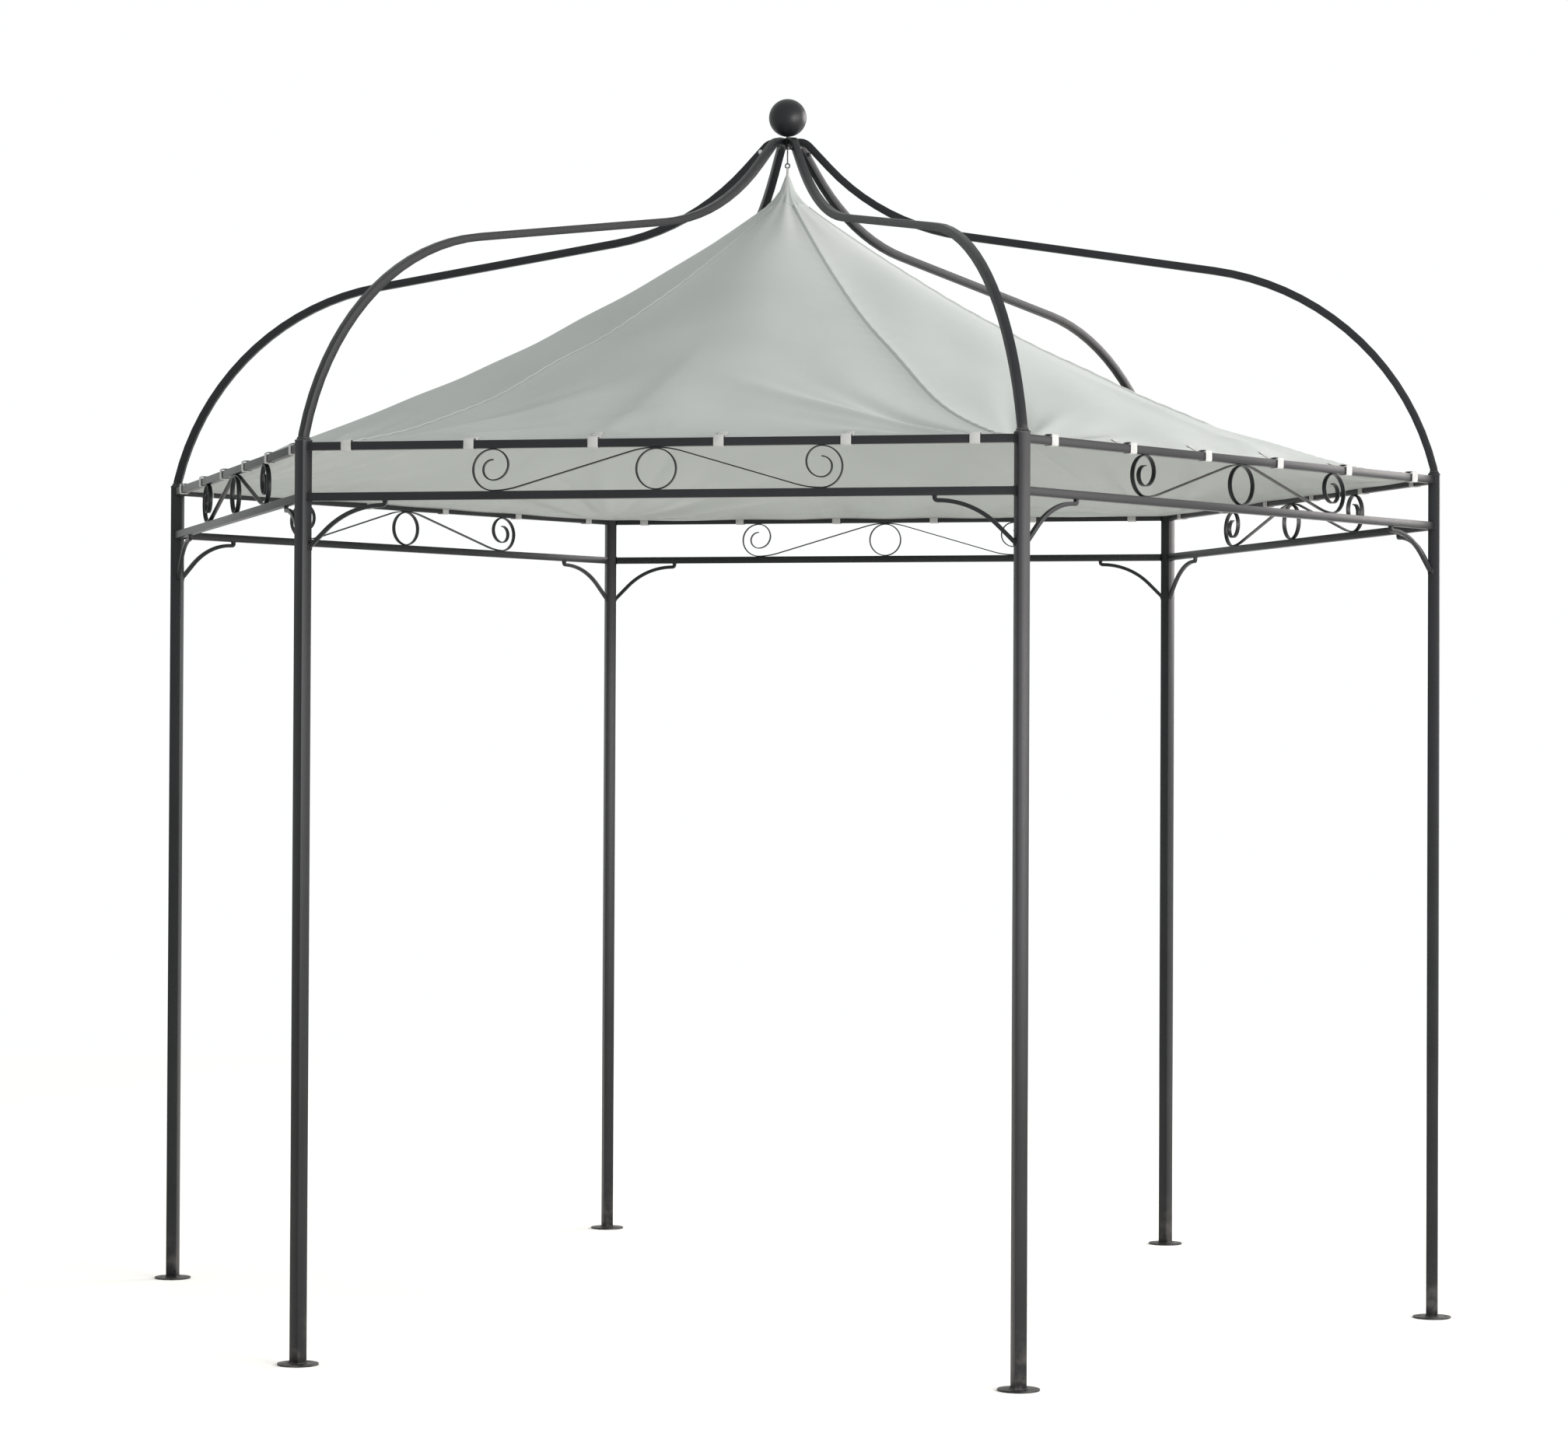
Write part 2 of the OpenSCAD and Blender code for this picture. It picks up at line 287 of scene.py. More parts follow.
@dataclass(frozen=True)
class PowderCoat(Finish):
    """Dark satin powder coat on steel, a little dusty near the ground and on what faces up."""

    name: str = "powder_coat"
    shade: Colour = (0.0064, 0.0068, 0.0077, 1.0)
    pale_shade: Colour = (0.0118, 0.0125, 0.0140, 1.0)
    dust: Colour = (0.120, 0.112, 0.100, 1.0)
    dust_top: float = 0.22
    roughness: float = 0.40
    peel_scale: float = 520.0

    def looks(self, recipe: Recipe, coords: Signal) -> dict[str, Any]:
        """Adds the nodes, as Finish.looks says."""
        cloud = recipe.noise(coords, 5.0, 3.0)
        speck = recipe.noise(coords, 260.0)
        peel = recipe.noise(coords, self.peel_scale, 1.0)
        facing = recipe.split(recipe.node("ShaderNodeNewGeometry", output="Normal")).part("Z")
        low = 1.0 - recipe.split(coords).part("Z").step(0.0, self.dust_top)
        settled = facing.step(0.55, 1.0) * recipe.noise(coords, 38.0, 4.0).step(0.42, 0.72)
        splash = low * low * recipe.noise(coords, 24.0, 5.0, 0.62).step(0.40, 0.70)
        coat = recipe.mixed((cloud + speck * 0.5 - 0.75) * 1.6 + 0.5, self.shade, self.pale_shade)
        colour = recipe.mixed((settled * 0.16 + splash * 0.45).limited(), coat, self.dust)
        rough = self.roughness + (speck - 0.5) * 0.16 + settled * 0.14 + splash * 0.22
        relief = recipe.bump(peel * 0.7 + speck * 0.3, 0.00035, 0.30)
        return dict(Base_Color=colour, Roughness=rough.limited(), Normal=relief,
                    Specular_IOR_Level=0.225)


@dataclass(frozen=True)
class CapPlastic(Finish):
    """Black moulded plastic of the post caps, with a fine spark-eroded grain."""

    name: str = "cap_plastic"
    shade: Colour = (0.010, 0.010, 0.011, 1.0)
    worn: Colour = (0.030, 0.030, 0.031, 1.0)

    def looks(self, recipe: Recipe, coords: Signal) -> dict[str, Any]:
        """Adds the nodes, as Finish.looks says."""
        grain = recipe.noise(coords, 1500.0)
        cloud = recipe.noise(coords, 60.0, 4.0)
        colour = recipe.mixed(cloud.step(0.45, 0.75) * 0.6, self.shade, self.worn)
        return dict(Base_Color=colour, Roughness=0.48 + (cloud - 0.5) * 0.3,
                    Normal=recipe.bump(grain, 0.0002, 0.35), Specular_IOR_Level=0.4)


@dataclass(frozen=True)
class Zinc(Finish):
    """Zinc plate of bolts and nuts, faintly clouded."""

    name: str = "bright_zinc"
    shade: Colour = (0.58, 0.59, 0.60, 1.0)
    dull: Colour = (0.36, 0.36, 0.35, 1.0)

    def looks(self, recipe: Recipe, coords: Signal) -> dict[str, Any]:
        """Adds the nodes, as Finish.looks says."""
        cloud = recipe.noise(coords, 180.0, 4.0)
        brushed = recipe.noise(recipe.stretched(coords, (1.0, 1.0, 0.08)), 2400.0)
        colour = recipe.mixed(cloud.step(0.42, 0.70), self.shade, self.dull)
        return dict(Base_Color=colour, Metallic=0.92, Roughness=0.26 + cloud * 0.26,
                    Normal=recipe.bump(brushed, 0.0001, 0.3))


@dataclass(frozen=True)
class CanopyCloth(Finish):
    """Coated woven polyester: a fine plain weave with slubs, soft clouding, a dusty hem, and a painted
    highlight that pales it towards the peak.
    """

    name: str = "canopy_cloth"
    shade: Colour = (0.283, 0.306, 0.293, 1.0)
    pale: Colour = (0.330, 0.354, 0.339, 1.0)
    dusty: Colour = (0.235, 0.238, 0.214, 1.0)
    # Painted highlight: a paler tone that stands in for light falling on the top of the canopy.
    peak_painted_highlight: Colour = (0.402, 0.418, 0.401, 1.0)
    peak_painted_highlight_span: Pair = (1.05, 1.62)
    dusty_hem: float = 0.20
    thread: float = 0.0011

    def looks(self, recipe: Recipe, coords: Signal) -> dict[str, Any]:
        """Adds the nodes, as Finish.looks says."""
        cut = recipe.cut()
        across = recipe.split(cut)
        down = across.part("Y")
        weave = (across * (TURN / self.thread)).sine() * (down * (TURN / self.thread)).sine()
        slub = recipe.noise(recipe.stretched(cut, (3.0, 260.0, 1.0)), 1.0, 3.0)
        warp = recipe.noise(recipe.stretched(cut, (220.0, 2.5, 1.0)), 1.0, 3.0)
        cloud = recipe.noise(coords, 2.6, 4.0, 0.55)
        stain = recipe.noise(coords, 11.0, 5.0, 0.6)
        tone = cloud * 0.9 + stain * 0.35 + slub * 0.28 + warp * 0.22 - 0.375
        colour = recipe.mixed(tone.limited(), self.shade, self.pale)
        # Painted highlight: mixes the cloth towards the paler tone from 1.05 m to 1.62 m up the cut
        # from the hem, so it reads lighter near the peak.
        colour = recipe.mixed(down.step(*self.peak_painted_highlight_span) * 0.62, colour, self.peak_painted_highlight)
        grime = (1.0 - down.step(0.0, self.dusty_hem)) * stain.step(0.44, 0.70) * 0.35
        colour = recipe.mixed(grime, colour, self.dusty)
        rough = 0.80 + (slub - 0.5) * 0.16 + (cloud - 0.5) * 0.1
        soft = recipe.bump(recipe.noise(coords, 46.0, 3.0, 0.55), 0.0012, 0.35)
        relief = recipe.bump(weave * 0.5 + slub * 0.5 + warp * 0.5, 0.00022, 0.55, soft)
        return dict(Base_Color=colour, Roughness=rough.limited(), Normal=relief,
                    Specular_IOR_Level=0.25, Sheen_Weight=0.12, Sheen_Roughness=0.5)


@dataclass(frozen=True)
class Webbing(Finish):
    """White woven webbing with a herringbone rib and dusty clouding."""

    name: str = "webbing"
    shade: Colour = (0.335, 0.34, 0.332, 1.0)
    dusty: Colour = (0.29, 0.29, 0.275, 1.0)
    rib: float = 0.0022

    def looks(self, recipe: Recipe, coords: Signal) -> dict[str, Any]:
        """Adds the nodes, as Finish.looks says."""
        across = recipe.split(recipe.cut())
        slant = (across * (math.pi / self.rib)).sine().size()
        herring = ((across.part("Y") + slant * (0.5 * self.rib)) * (TURN / self.rib)).sine()
        fuzz = recipe.noise(coords, 900.0, 3.0)
        cloud = recipe.noise(coords, 40.0, 4.0)
        colour = recipe.mixed(cloud.step(0.42, 0.72) * 0.8, self.shade, self.dusty)
        return dict(Base_Color=colour, Roughness=0.82 + (fuzz - 0.5) * 0.2,
                    Normal=recipe.bump(herring * 0.6 + fuzz * 0.4, 0.0004, 0.6),
                    Specular_IOR_Level=0.25, Sheen_Weight=0.2, Sheen_Roughness=0.4)


@dataclass(frozen=True)
class Thread(Finish):
    """Twisted sewing thread."""

    name: str = "thread"
    shade: Colour = (0.46, 0.47, 0.44, 1.0)
    pale: Colour = (0.62, 0.63, 0.60, 1.0)

    def looks(self, recipe: Recipe, coords: Signal) -> dict[str, Any]:
        """Adds the nodes, as Finish.looks says."""
        twist = recipe.noise(coords, 1600.0)
        return dict(Base_Color=recipe.mixed(twist, self.shade, self.pale), Roughness=0.6,
                    Normal=recipe.bump(twist, 0.0002, 0.5))


@dataclass(frozen=True)
class StudioPaper(Finish):
    """Plain pale matt floor that fades out all round."""

    name: str = "studio_paper"
    shade: Colour = (0.87, 0.86, 0.83, 1.0)
    pale: Colour = (0.89, 0.88, 0.85, 1.0)
    fade: Pair = (5.5, 12.0)

    def looks(self, recipe: Recipe, coords: Signal) -> dict[str, Any]:
        """Adds the nodes, as Finish.looks says."""
        cloud = recipe.noise(coords, 0.4)
        away = recipe.node("ShaderNodeVectorMath", {"operation": "LENGTH"}, {0: coords}, "Value")
        return dict(Base_Color=recipe.mixed(cloud, self.shade, self.pale), Roughness=0.9,
                    Alpha=1.0 - away.step(*self.fade), Specular_IOR_Level=0.1)


class Finishes:
    """The finished materials that the pieces share."""

    def __init__(self) -> None:
        """Makes each finish once."""
        black = Zinc("black_zinc", (0.050, 0.050, 0.054, 1.0), (0.110, 0.108, 0.105, 1.0))
        self.paint = PowderCoat().material()
        self.plastic = CapPlastic().material()
        self.zinc = Zinc().material()
        self.black_zinc = black.material()
        self.cloth = CanopyCloth().material()
        self.webbing = Webbing().material()
        self.thread = Thread().material()
        self.paper = StudioPaper().material()


# ---------------------------------------------------------------- mesh tools


def turned(points: Array, angle: float) -> Array:
    """Returns points turned round the gazebo's axis by an angle in radians."""
    c, s = math.cos(angle), math.sin(angle)
    return np.asarray(points, float) @ np.array([[c, s, 0.0], [-s, c, 0.0], [0.0, 0.0, 1.0]])


def seeded(*keys: int) -> np.random.Generator:
    """Returns a random source that gives the same numbers each run."""
    return np.random.default_rng([7919, *keys])


def smooth_step(x: Array, low: float, high: float) -> Array:
    """Returns a smooth step of x, from 0 at low to 1 at high."""
    t = np.clip((x - low) / (high - low), 0.0, 1.0)
    return t * t * (3.0 - 2.0 * t)


def bell(x: Array, width: Array | float) -> Array:
    """Returns a bell curve of x, which is 1 at 0 and nearly gone at twice its width."""
    return np.exp(-((x / width) ** 2))


def rounded_outline(half_w: float, half_h: float, r: float, n: int = 4) -> Array:
    """Traces a rectangle with rounded corners.

    Args:
        half_w: Half its width.
        half_h: Half its height.
        r: The radius of its corners.
        n: The steps in each corner.

    Returns:
        Its points, anticlockwise.
    """
    points = []
    for turn, (x, y) in enumerate(SQUARE):
        for k in range(n + 1):
            a = math.radians(90.0) * (turn + k / n)
            points.append(((half_w - r) * x + r * math.cos(a), (half_h - r) * y + r * math.sin(a)))
    return np.array(points)


def circle(steps: int, turns: float = 1.0) -> Array:
    """Returns points evenly spaced round a unit circle, one row each."""
    angle = np.arange(round(steps * turns)) * TURN / steps
    return np.column_stack([np.cos(angle), np.sin(angle)])


def run_along(path: Array) -> Array:
    """Returns how far along a path each of its points lies."""
    return np.concatenate([[0.0], np.cumsum(np.linalg.norm(np.diff(path, axis=0), axis=1))])


def cut_at(across: Array, down: Array) -> Array:
    """Returns flat places in the cloth, from how far across and down they are."""
    across, down = np.broadcast_arrays(across, down)
    return np.stack([across, down, np.zeros(across.shape)], -1)


@dataclass(frozen=True)
class Plan:
    """The sizes of the steel that everything else is placed by."""

    corner_r: float = 1.75
    post_w: float = 0.030
    rail_w: float = 0.020
    rail_heights: Pair = (2.089, 2.211)

    def at_post(self, points: Array, post: int) -> Array:
        """Returns points given outwards, anticlockwise and up from a post's axis."""
        return turned(np.asarray(points, float) + [self.corner_r, 0.0, 0.0], SECTOR * (post - 1))

    def on_side(self, points: Array, side: int) -> Array:
        """Returns points given along a side, inwards and up."""
        along, inward, up = np.moveaxis(np.asarray(points, float), -1, 0)
        apothem = self.corner_r * math.cos(SECTOR / 2.0)
        return turned(np.stack([apothem - inward, along, up], -1), SECTOR * (side - 0.5))


PLAN = Plan()


class Draft:
    """Collects the mesh of one piece."""

    sharp: float = math.radians(40.0)

    def __init__(self, name: str) -> None:
        """Starts an empty piece of that name."""
        self.name = name
        self.points: list[Array] = []
        self.faces: list[list[int]] = []
        self.cuts: list[Array] = []
        self.count = 0

    def grid(self, rows: Array, cut: Array | None = None, loop: bool = False) -> None:
        """Adds a tube of quads, closed at its ends.

        Args:
            rows: Points by row and by place round the row.
            cut: The flat place of each point in its cloth, for the weave.
            loop: Whether the last row joins the first, in place of two ends.
        """
        at = self.count + np.arange(rows[..., 0].size).reshape(rows.shape[:2])
        self.points.append(rows.reshape(-1, 3))
        self.cuts.append(np.zeros((at.size, 3)) if cut is None else cut.reshape(-1, 3))
        self.count += at.size
        low, high = (at, np.roll(at, -1, 0)) if loop else (at[:-1], at[1:])
        quads = np.stack([low, np.roll(low, -1, 1), np.roll(high, -1, 1), high], -1)
        self.faces += quads.reshape(-1, 4).tolist()
        if not loop:
            self.faces += [at[0][::-1].tolist(), at[-1].tolist()]

    def sweep(self, path: Array, section: Array, side: Array, loop: bool = False,
              scale: Array | None = None, cut: Array | None = None) -> None:
        """Adds a bar along a path.

        Args:
            path: The points of its middle line.
            section: Its outline, as places along side and across it.
            side: The direction of the outline's first place, one for all or one for each point.
            loop: Whether the path closes.
            scale: The outline's size at each point.
            cut: The flat place of each point in its cloth.
        """
        ahead = np.roll(path, -1, 0) - np.roll(path, 1, 0)
        if not loop:
            ahead[0], ahead[-1] = path[1] - path[0], path[-1] - path[-2]
        ahead /= np.linalg.norm(ahead, axis=1)[:, None]
        side = np.broadcast_to(side, path.shape)
        over = np.cross(ahead, side)
        over /= np.linalg.norm(over, axis=1)[:, None]
        sizes = np.ones((len(path), 1, 1)) if scale is None else scale[:, None, None]
        reach = section[None, :, 0, None] * side[:, None] + section[None, :, 1, None] * over[:, None]
        self.grid(path[:, None] + reach * sizes, cut, loop)

    def lathe(self, profile: Sequence[tuple[float, float]], centre: Array, axis: Array,
              steps: int = 24, sides: float = 0.0) -> None:
        """Adds a turned piece.

        Args:
            profile: Its radius and height at each step along its axis.
            centre: Where the axis starts.
            axis: The axis's direction.
            steps: The steps around it.
            sides: With 6, a hexagonal piece such as a nut.
        """
        w = Vector(axis).normalized()
        u = w.orthogonal().normalized()
        frame_of = np.array([u, w.cross(u), w])
        ring = circle(steps)
        if sides:
            sector = TURN / sides
            ring /= np.cos(np.arange(steps) * TURN / steps % sector - sector / 2.0)[:, None]
        rows = [np.column_stack([r * ring, np.full(steps, h)]) @ frame_of + centre
                for r, h in profile]
        self.grid(np.array(rows))

    def build(self, finish: bpy.types.Material, slot: Slot) -> bpy.types.Object:
        """Makes the piece, which rides on the gazebo, with its material, and returns it."""
        mesh = bpy.data.meshes.new(self.name)
        mesh.from_pydata(np.concatenate(self.points).tolist(), [], self.faces)
        shape = bmesh.new()
        shape.from_mesh(mesh)
        bmesh.ops.recalc_face_normals(shape, faces=shape.faces)
        shape.to_mesh(mesh)
        shape.free()
        mesh.shade_smooth()
        mesh.set_sharp_from_angle(angle=self.sharp)
        return placed(mesh, np.concatenate(self.cuts), finish)


def placed(mesh: bpy.types.Mesh, cuts: Array, finish: bpy.types.Material,
           domain: str = "POINT") -> bpy.types.Object:
    """Puts a finished mesh on the gazebo.

    Args:
        mesh: The piece's mesh.
        cuts: Its flat places in the cloth.
        finish: Its material.
        domain: Whether each point has a flat place, or each face's CORNER.

    Returns:
        The new object, by the mesh's name.
    """
    cut = mesh.attributes.new("cut", "FLOAT_VECTOR", domain)
    cut.data.foreach_set("vector", np.asarray(cuts, np.float32).ravel())
    mesh.materials.append(finish)
    piece = bpy.data.objects.new(mesh.name, mesh)
    bpy.context.scene.collection.objects.link(piece)
    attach(piece, BODY)
    LOG.info("%s: %d points, %d faces", piece.name, len(mesh.vertices), len(mesh.polygons))
    return piece


# ---------------------------------------------------------------- the steel frame


@dataclass
class SteelFrame:
    """The welded and bolted steel of the CAD model, with its edges softened and coated."""

    finishes: Finishes
    tube_edge: float = 0.0012
    strip_edge: float = 0.0005
    crease: float = math.radians(32.0)
    merge: float = 1e-5

    def smoothing(self) -> bpy.types.NodeTree:
        """Returns a node group that shades a mesh smooth but for its creases."""
        group = bpy.data.node_groups.new("soft_shading", "GeometryNodeTree")
        for way in ("INPUT", "OUTPUT"):
            group.interface.new_socket("Mesh", in_out=way, socket_type="NodeSocketGeometry")
        recipe = Recipe(group)
        angle = recipe.node("GeometryNodeInputMeshEdgeAngle")
        sharp = recipe.node("FunctionNodeCompare", {"operation": "GREATER_THAN"},
                            {"A": angle, "B": self.crease})
        sockets = {"Mesh": recipe.node("NodeGroupInput"), "Edge Sharpness": sharp}
        recipe.end("NodeGroupOutput", recipe.node("GeometryNodeSetMeshNormal", sockets=sockets))
        return group

    def soften(self, node: str, width: float, shading: bpy.types.NodeTree) -> None:
        """Rounds the edges of one CAD node.

        Args:
            node: Its name.
            width: The width of its rounded edges.
            shading: The node group that shades it.
        """
        piece = frame["nodes"][node]
        weld = piece.modifiers.new("weld", "WELD")
        weld.merge_threshold = self.merge
        bevel = piece.modifiers.new("edges", "BEVEL")
        bevel.width = width
        bevel.segments = 2
        bevel.limit_method = "ANGLE"
        bevel.angle_limit = self.crease
        bevel.use_clamp_overlap = True
        piece.modifiers.new("shading", "NODES").node_group = shading

    def dress(self) -> None:
        """Coats every steel node and softens its edges."""
        shading = self.smoothing()
        tubes = ("post", "upper_rail", "lower_rail", "rib", "corner_brace")
        for kind, i in itertools.product(tubes, SIDES):
            self.soften(f"{kind}_{i}", self.tube_edge, shading)
        for name in ("foot_plates", "crown_hub", *(f"scroll_{i}" for i in SIDES)):
            self.soften(name, self.strip_edge, shading)
        for name, piece in frame["nodes"].items():
            finish = self.finishes.black_zinc if name == "eye_bolt" else self.finishes.paint
            for place in piece.material_slots:
                place.material = finish
        LOG.info("steel frame: %d nodes", len(frame["nodes"]))


class Welds(Draft):
    """Collects weld beads, each with ripples of its own."""

    beads: int = 0

    def bead(self, path: Array, size: float, loop: bool = False) -> None:
        """Adds one weld bead.

        Args:
            path: The line that it follows.
            size: Its radius.
            loop: Whether it closes on itself.
        """
        self.beads += 1
        closed = np.vstack([path, path[:1]]) if loop else path
        run = run_along(closed)
        n = max(5, int(run[-1] / (size * 0.55)))
        spots = np.linspace(0.0, run[-1], n, endpoint=not loop)
        line = np.stack([np.interp(spots, run, closed[:, k]) for k in range(3)], 1)
        rng = seeded(41, self.beads)
        ripple = 1.0 + 0.13 * np.cos(TURN * spots / (size * 1.5)) + rng.normal(0.0, 0.05, n)
        line += rng.normal(0.0, size * 0.05, line.shape)
        if loop:
            side = line - path.mean(0)
        else:
            ripple[[0, -1]] *= 0.45
            side = np.cross(closed[1] - closed[0], [[0.31, 0.17, 0.93]])
        side /= np.linalg.norm(side, axis=1)[:, None]
        self.sweep(line, circle(8) * size, side, loop, ripple)


@dataclass
class Fittings:
    """The small parts on the frame: post caps, weld beads, bolts, nuts and washers."""

    finishes: Finishes
    cap_edge_r: float = 0.0016
    post_top: float = 2.229
    foot_t: float = 0.004
    volute_offset: float = 0.400
    strip_bead_x: float = 0.0042
    strip_d: float = 0.012
    brace_w: float = 0.010
    brace_tip: float = 0.206
    brace_foot_z: float = 1.969
    rail_bead_r: float = 0.0019
    foot_bead_r: float = 0.0024
    strip_bead_r: float = 0.0014
    brace_bead_r: Pair = (0.0012, 0.0013)
    hub_heights: Pair = (3.140, 3.160)
    ball_rise: float = 0.007
    bolt_r: float = 0.073
    bolt_z: float = 3.1253
    sink: float = 0.0001
    bead_lift: float = 0.0002
    thread_lift: float = 0.0002
    thread_pitch: float = 0.00125
    thread_r: float = 0.00395

    def caps(self) -> None:
        """Builds the moulded caps that close the posts round the ribs."""
        draft = Draft("post_caps")
        half = PLAN.post_w / 2.0
        profile = [(half + 0.0006, -0.0052), (half + 0.0008, -0.0046), (half + 0.0008, -0.0030),
                   (half + 0.0002, -0.0022), (half - 0.0028, 0.0007), (half - 0.0036, 0.0010),
                   (0.0119, 0.0012), (0.0117, 0.0046), (0.0112, 0.0052), (0.0106, 0.0051),
                   (0.0103, 0.0040), (0.0103, -0.0030)]
        rows = []
        for size, rise in profile:
            flat = rounded_outline(size, size, self.cap_edge_r, 3)
            rows.append(np.column_stack([flat, np.full(len(flat), self.post_top + rise)]))
        for post in SIDES:
            draft.grid(PLAN.at_post(np.array(rows), post), loop=True)
        draft.build(self.finishes.plastic, Slot.FRAME)

    def welds(self) -> None:
        """Builds the weld beads of rails, braces, scrolls and foot plates."""
        welds = Welds("weld_beads")
        half, rail, brace = PLAN.post_w / 2.0, PLAN.rail_w / 2.0, self.brace_w / 2.0
        edge = half + self.bead_lift
        inner_x = -half * math.tan(SECTOR / 2.0)
        outer_x = inner_x + rail / math.cos(SECTOR / 2.0)
        wide, tall = brace / math.cos(SECTOR / 2.0), self.brace_w / math.sqrt(2.0)
        for post in SIDES:
            for way in (1.0, -1.0):
                for z in PLAN.rail_heights:
                    low, high = z - rail, z + rail
                    corners = [(-half, low), (outer_x, low), (outer_x, high), (-half, high)]
                    path = PLAN.at_post([(x, way * edge, height) for x, height in corners], post)
                    for start in range(3):
                        welds.bead(path[start:start + 2], self.rail_bead_r)
                foot = [(inner_x + a * wide, way * edge, self.brace_foot_z + b * tall)
                        for a, b in SQUARE]
                welds.bead(PLAN.at_post(foot, post), self.brace_bead_r[1], loop=True)
            base = [(a * half, b * half, self.foot_t) for a, b in SQUARE]
            welds.bead(PLAN.at_post(base, post), self.foot_bead_r, loop=True)
        low, high = PLAN.rail_heights[0] + rail, PLAN.rail_heights[1] - rail
        tip = PLAN.corner_r / 2.0 - self.brace_tip
        ends = ((0.0, low), (-self.volute_offset, low), (self.volute_offset, low), (0.0, high))
        for side in SIDES:
            for x, z in ends:
                for way in (-1.0, 1.0):
                    spot = x + way * self.strip_bead_x
                    path = [(spot, y * self.strip_d / 2.0, z) for y in (-1.0, 1.0)]
                    welds.bead(PLAN.on_side(path, side), self.strip_bead_r)
            for way in (-1.0, 1.0):
                path = [(way * tip + a * brace, b * brace, low - PLAN.rail_w) for a, b in SQUARE]
                welds.bead(PLAN.on_side(path, side), self.brace_bead_r[0], loop=True)
        welds.build(self.finishes.paint, Slot.FRAME)

    def bolts(self) -> None:
        """Builds the cross bolts beside the hub, and the nut and washer under it."""
        heads, nuts, under = Draft("rib_bolts"), Draft("nut_caps"), Draft("hub_nut")
        dome = [(0.0052, 0.0), (0.0053, 0.0006), (0.0050, 0.0017), (0.0040, 0.0027), (0.0026, 0.0032),
                (0.0023, 0.0031), (0.0021, 0.0016), (0.0004, 0.0015)]
        washer = [(0.0066, 0.0), (0.0067, 0.0002), (0.0067, 0.0009), (0.0065, 0.0011),
                  (0.0004, 0.0011)]
        cap = [(0.0058, 0.0), (0.0059, 0.0016), (0.0052, 0.0018), (0.0051, 0.0050), (0.0046, 0.0066),
               (0.0032, 0.0077), (0.0012, 0.0081), (0.0003, 0.0081)]
        broad_washer = [(0.0084, 0.0), (0.0086, 0.0003), (0.0086, 0.0013), (0.0083, 0.0016),
                        (0.0005, 0.0016)]
        nut = [(0.0060, 0.0), (0.0065, 0.0005), (0.0065, 0.0060), (0.0060, 0.0065), (0.0005, 0.0066)]
        for rib in (2, 4, 6):
            for way, draft, head in ((1.0, heads, dome), (-1.0, nuts, cap)):
                places = [(self.bolt_r, way * PLAN.rail_w / 2.0, self.bolt_z), (0.0, way, 0.0)]
                base, axis = turned(np.array(places), SECTOR * (rib - 1))
                draft.lathe(washer, base - axis * self.sink, axis)
                draft.lathe(head, base + axis * (washer[-1][1] - self.sink), axis)
        down = np.array([0.0, 0.0, -1.0])
        at = -down * (self.hub_heights[0] + self.sink)
        under.lathe(broad_washer, at, down, 32)
        under.lathe(nut, at + down * (broad_washer[-1][1] - self.sink), down, 36, 6.0)
        heads.build(self.finishes.zinc, Slot.ZINC)
        nuts.build(self.finishes.plastic, Slot.FRAME)
        under.build(self.finishes.black_zinc, Slot.ZINC)

    def threads(self) -> None:
        """Builds the rolled thread of the stud under the ball."""
        draft = Draft("stud_thread")
        steps, low = 24, self.hub_heights[1] + self.thread_lift
        ring = circle(steps, self.ball_rise / self.thread_pitch)
        z = low + self.thread_pitch * np.arange(len(ring)) / steps
        section = np.array([(0.00042, 0.0), (0.0, 0.0005), (-0.0002, 0.0), (0.0, -0.0005)])
        side = np.column_stack([ring, np.zeros(len(ring))])
        draft.sweep(np.column_stack([ring * self.thread_r, z]), section, side)
        draft.build(self.finishes.black_zinc, Slot.ZINC)

    def dress(self) -> None:
        """Builds all the fittings."""
        self.caps()
        self.welds()
        self.bolts()
        self.threads()


# ---------------------------------------------------------------- the canopy


class Fold(NamedTuple):
    """A fold that fans out from a corner, with its direction and width in radians."""

    direction: float
    width: float
    height: float
    length: float


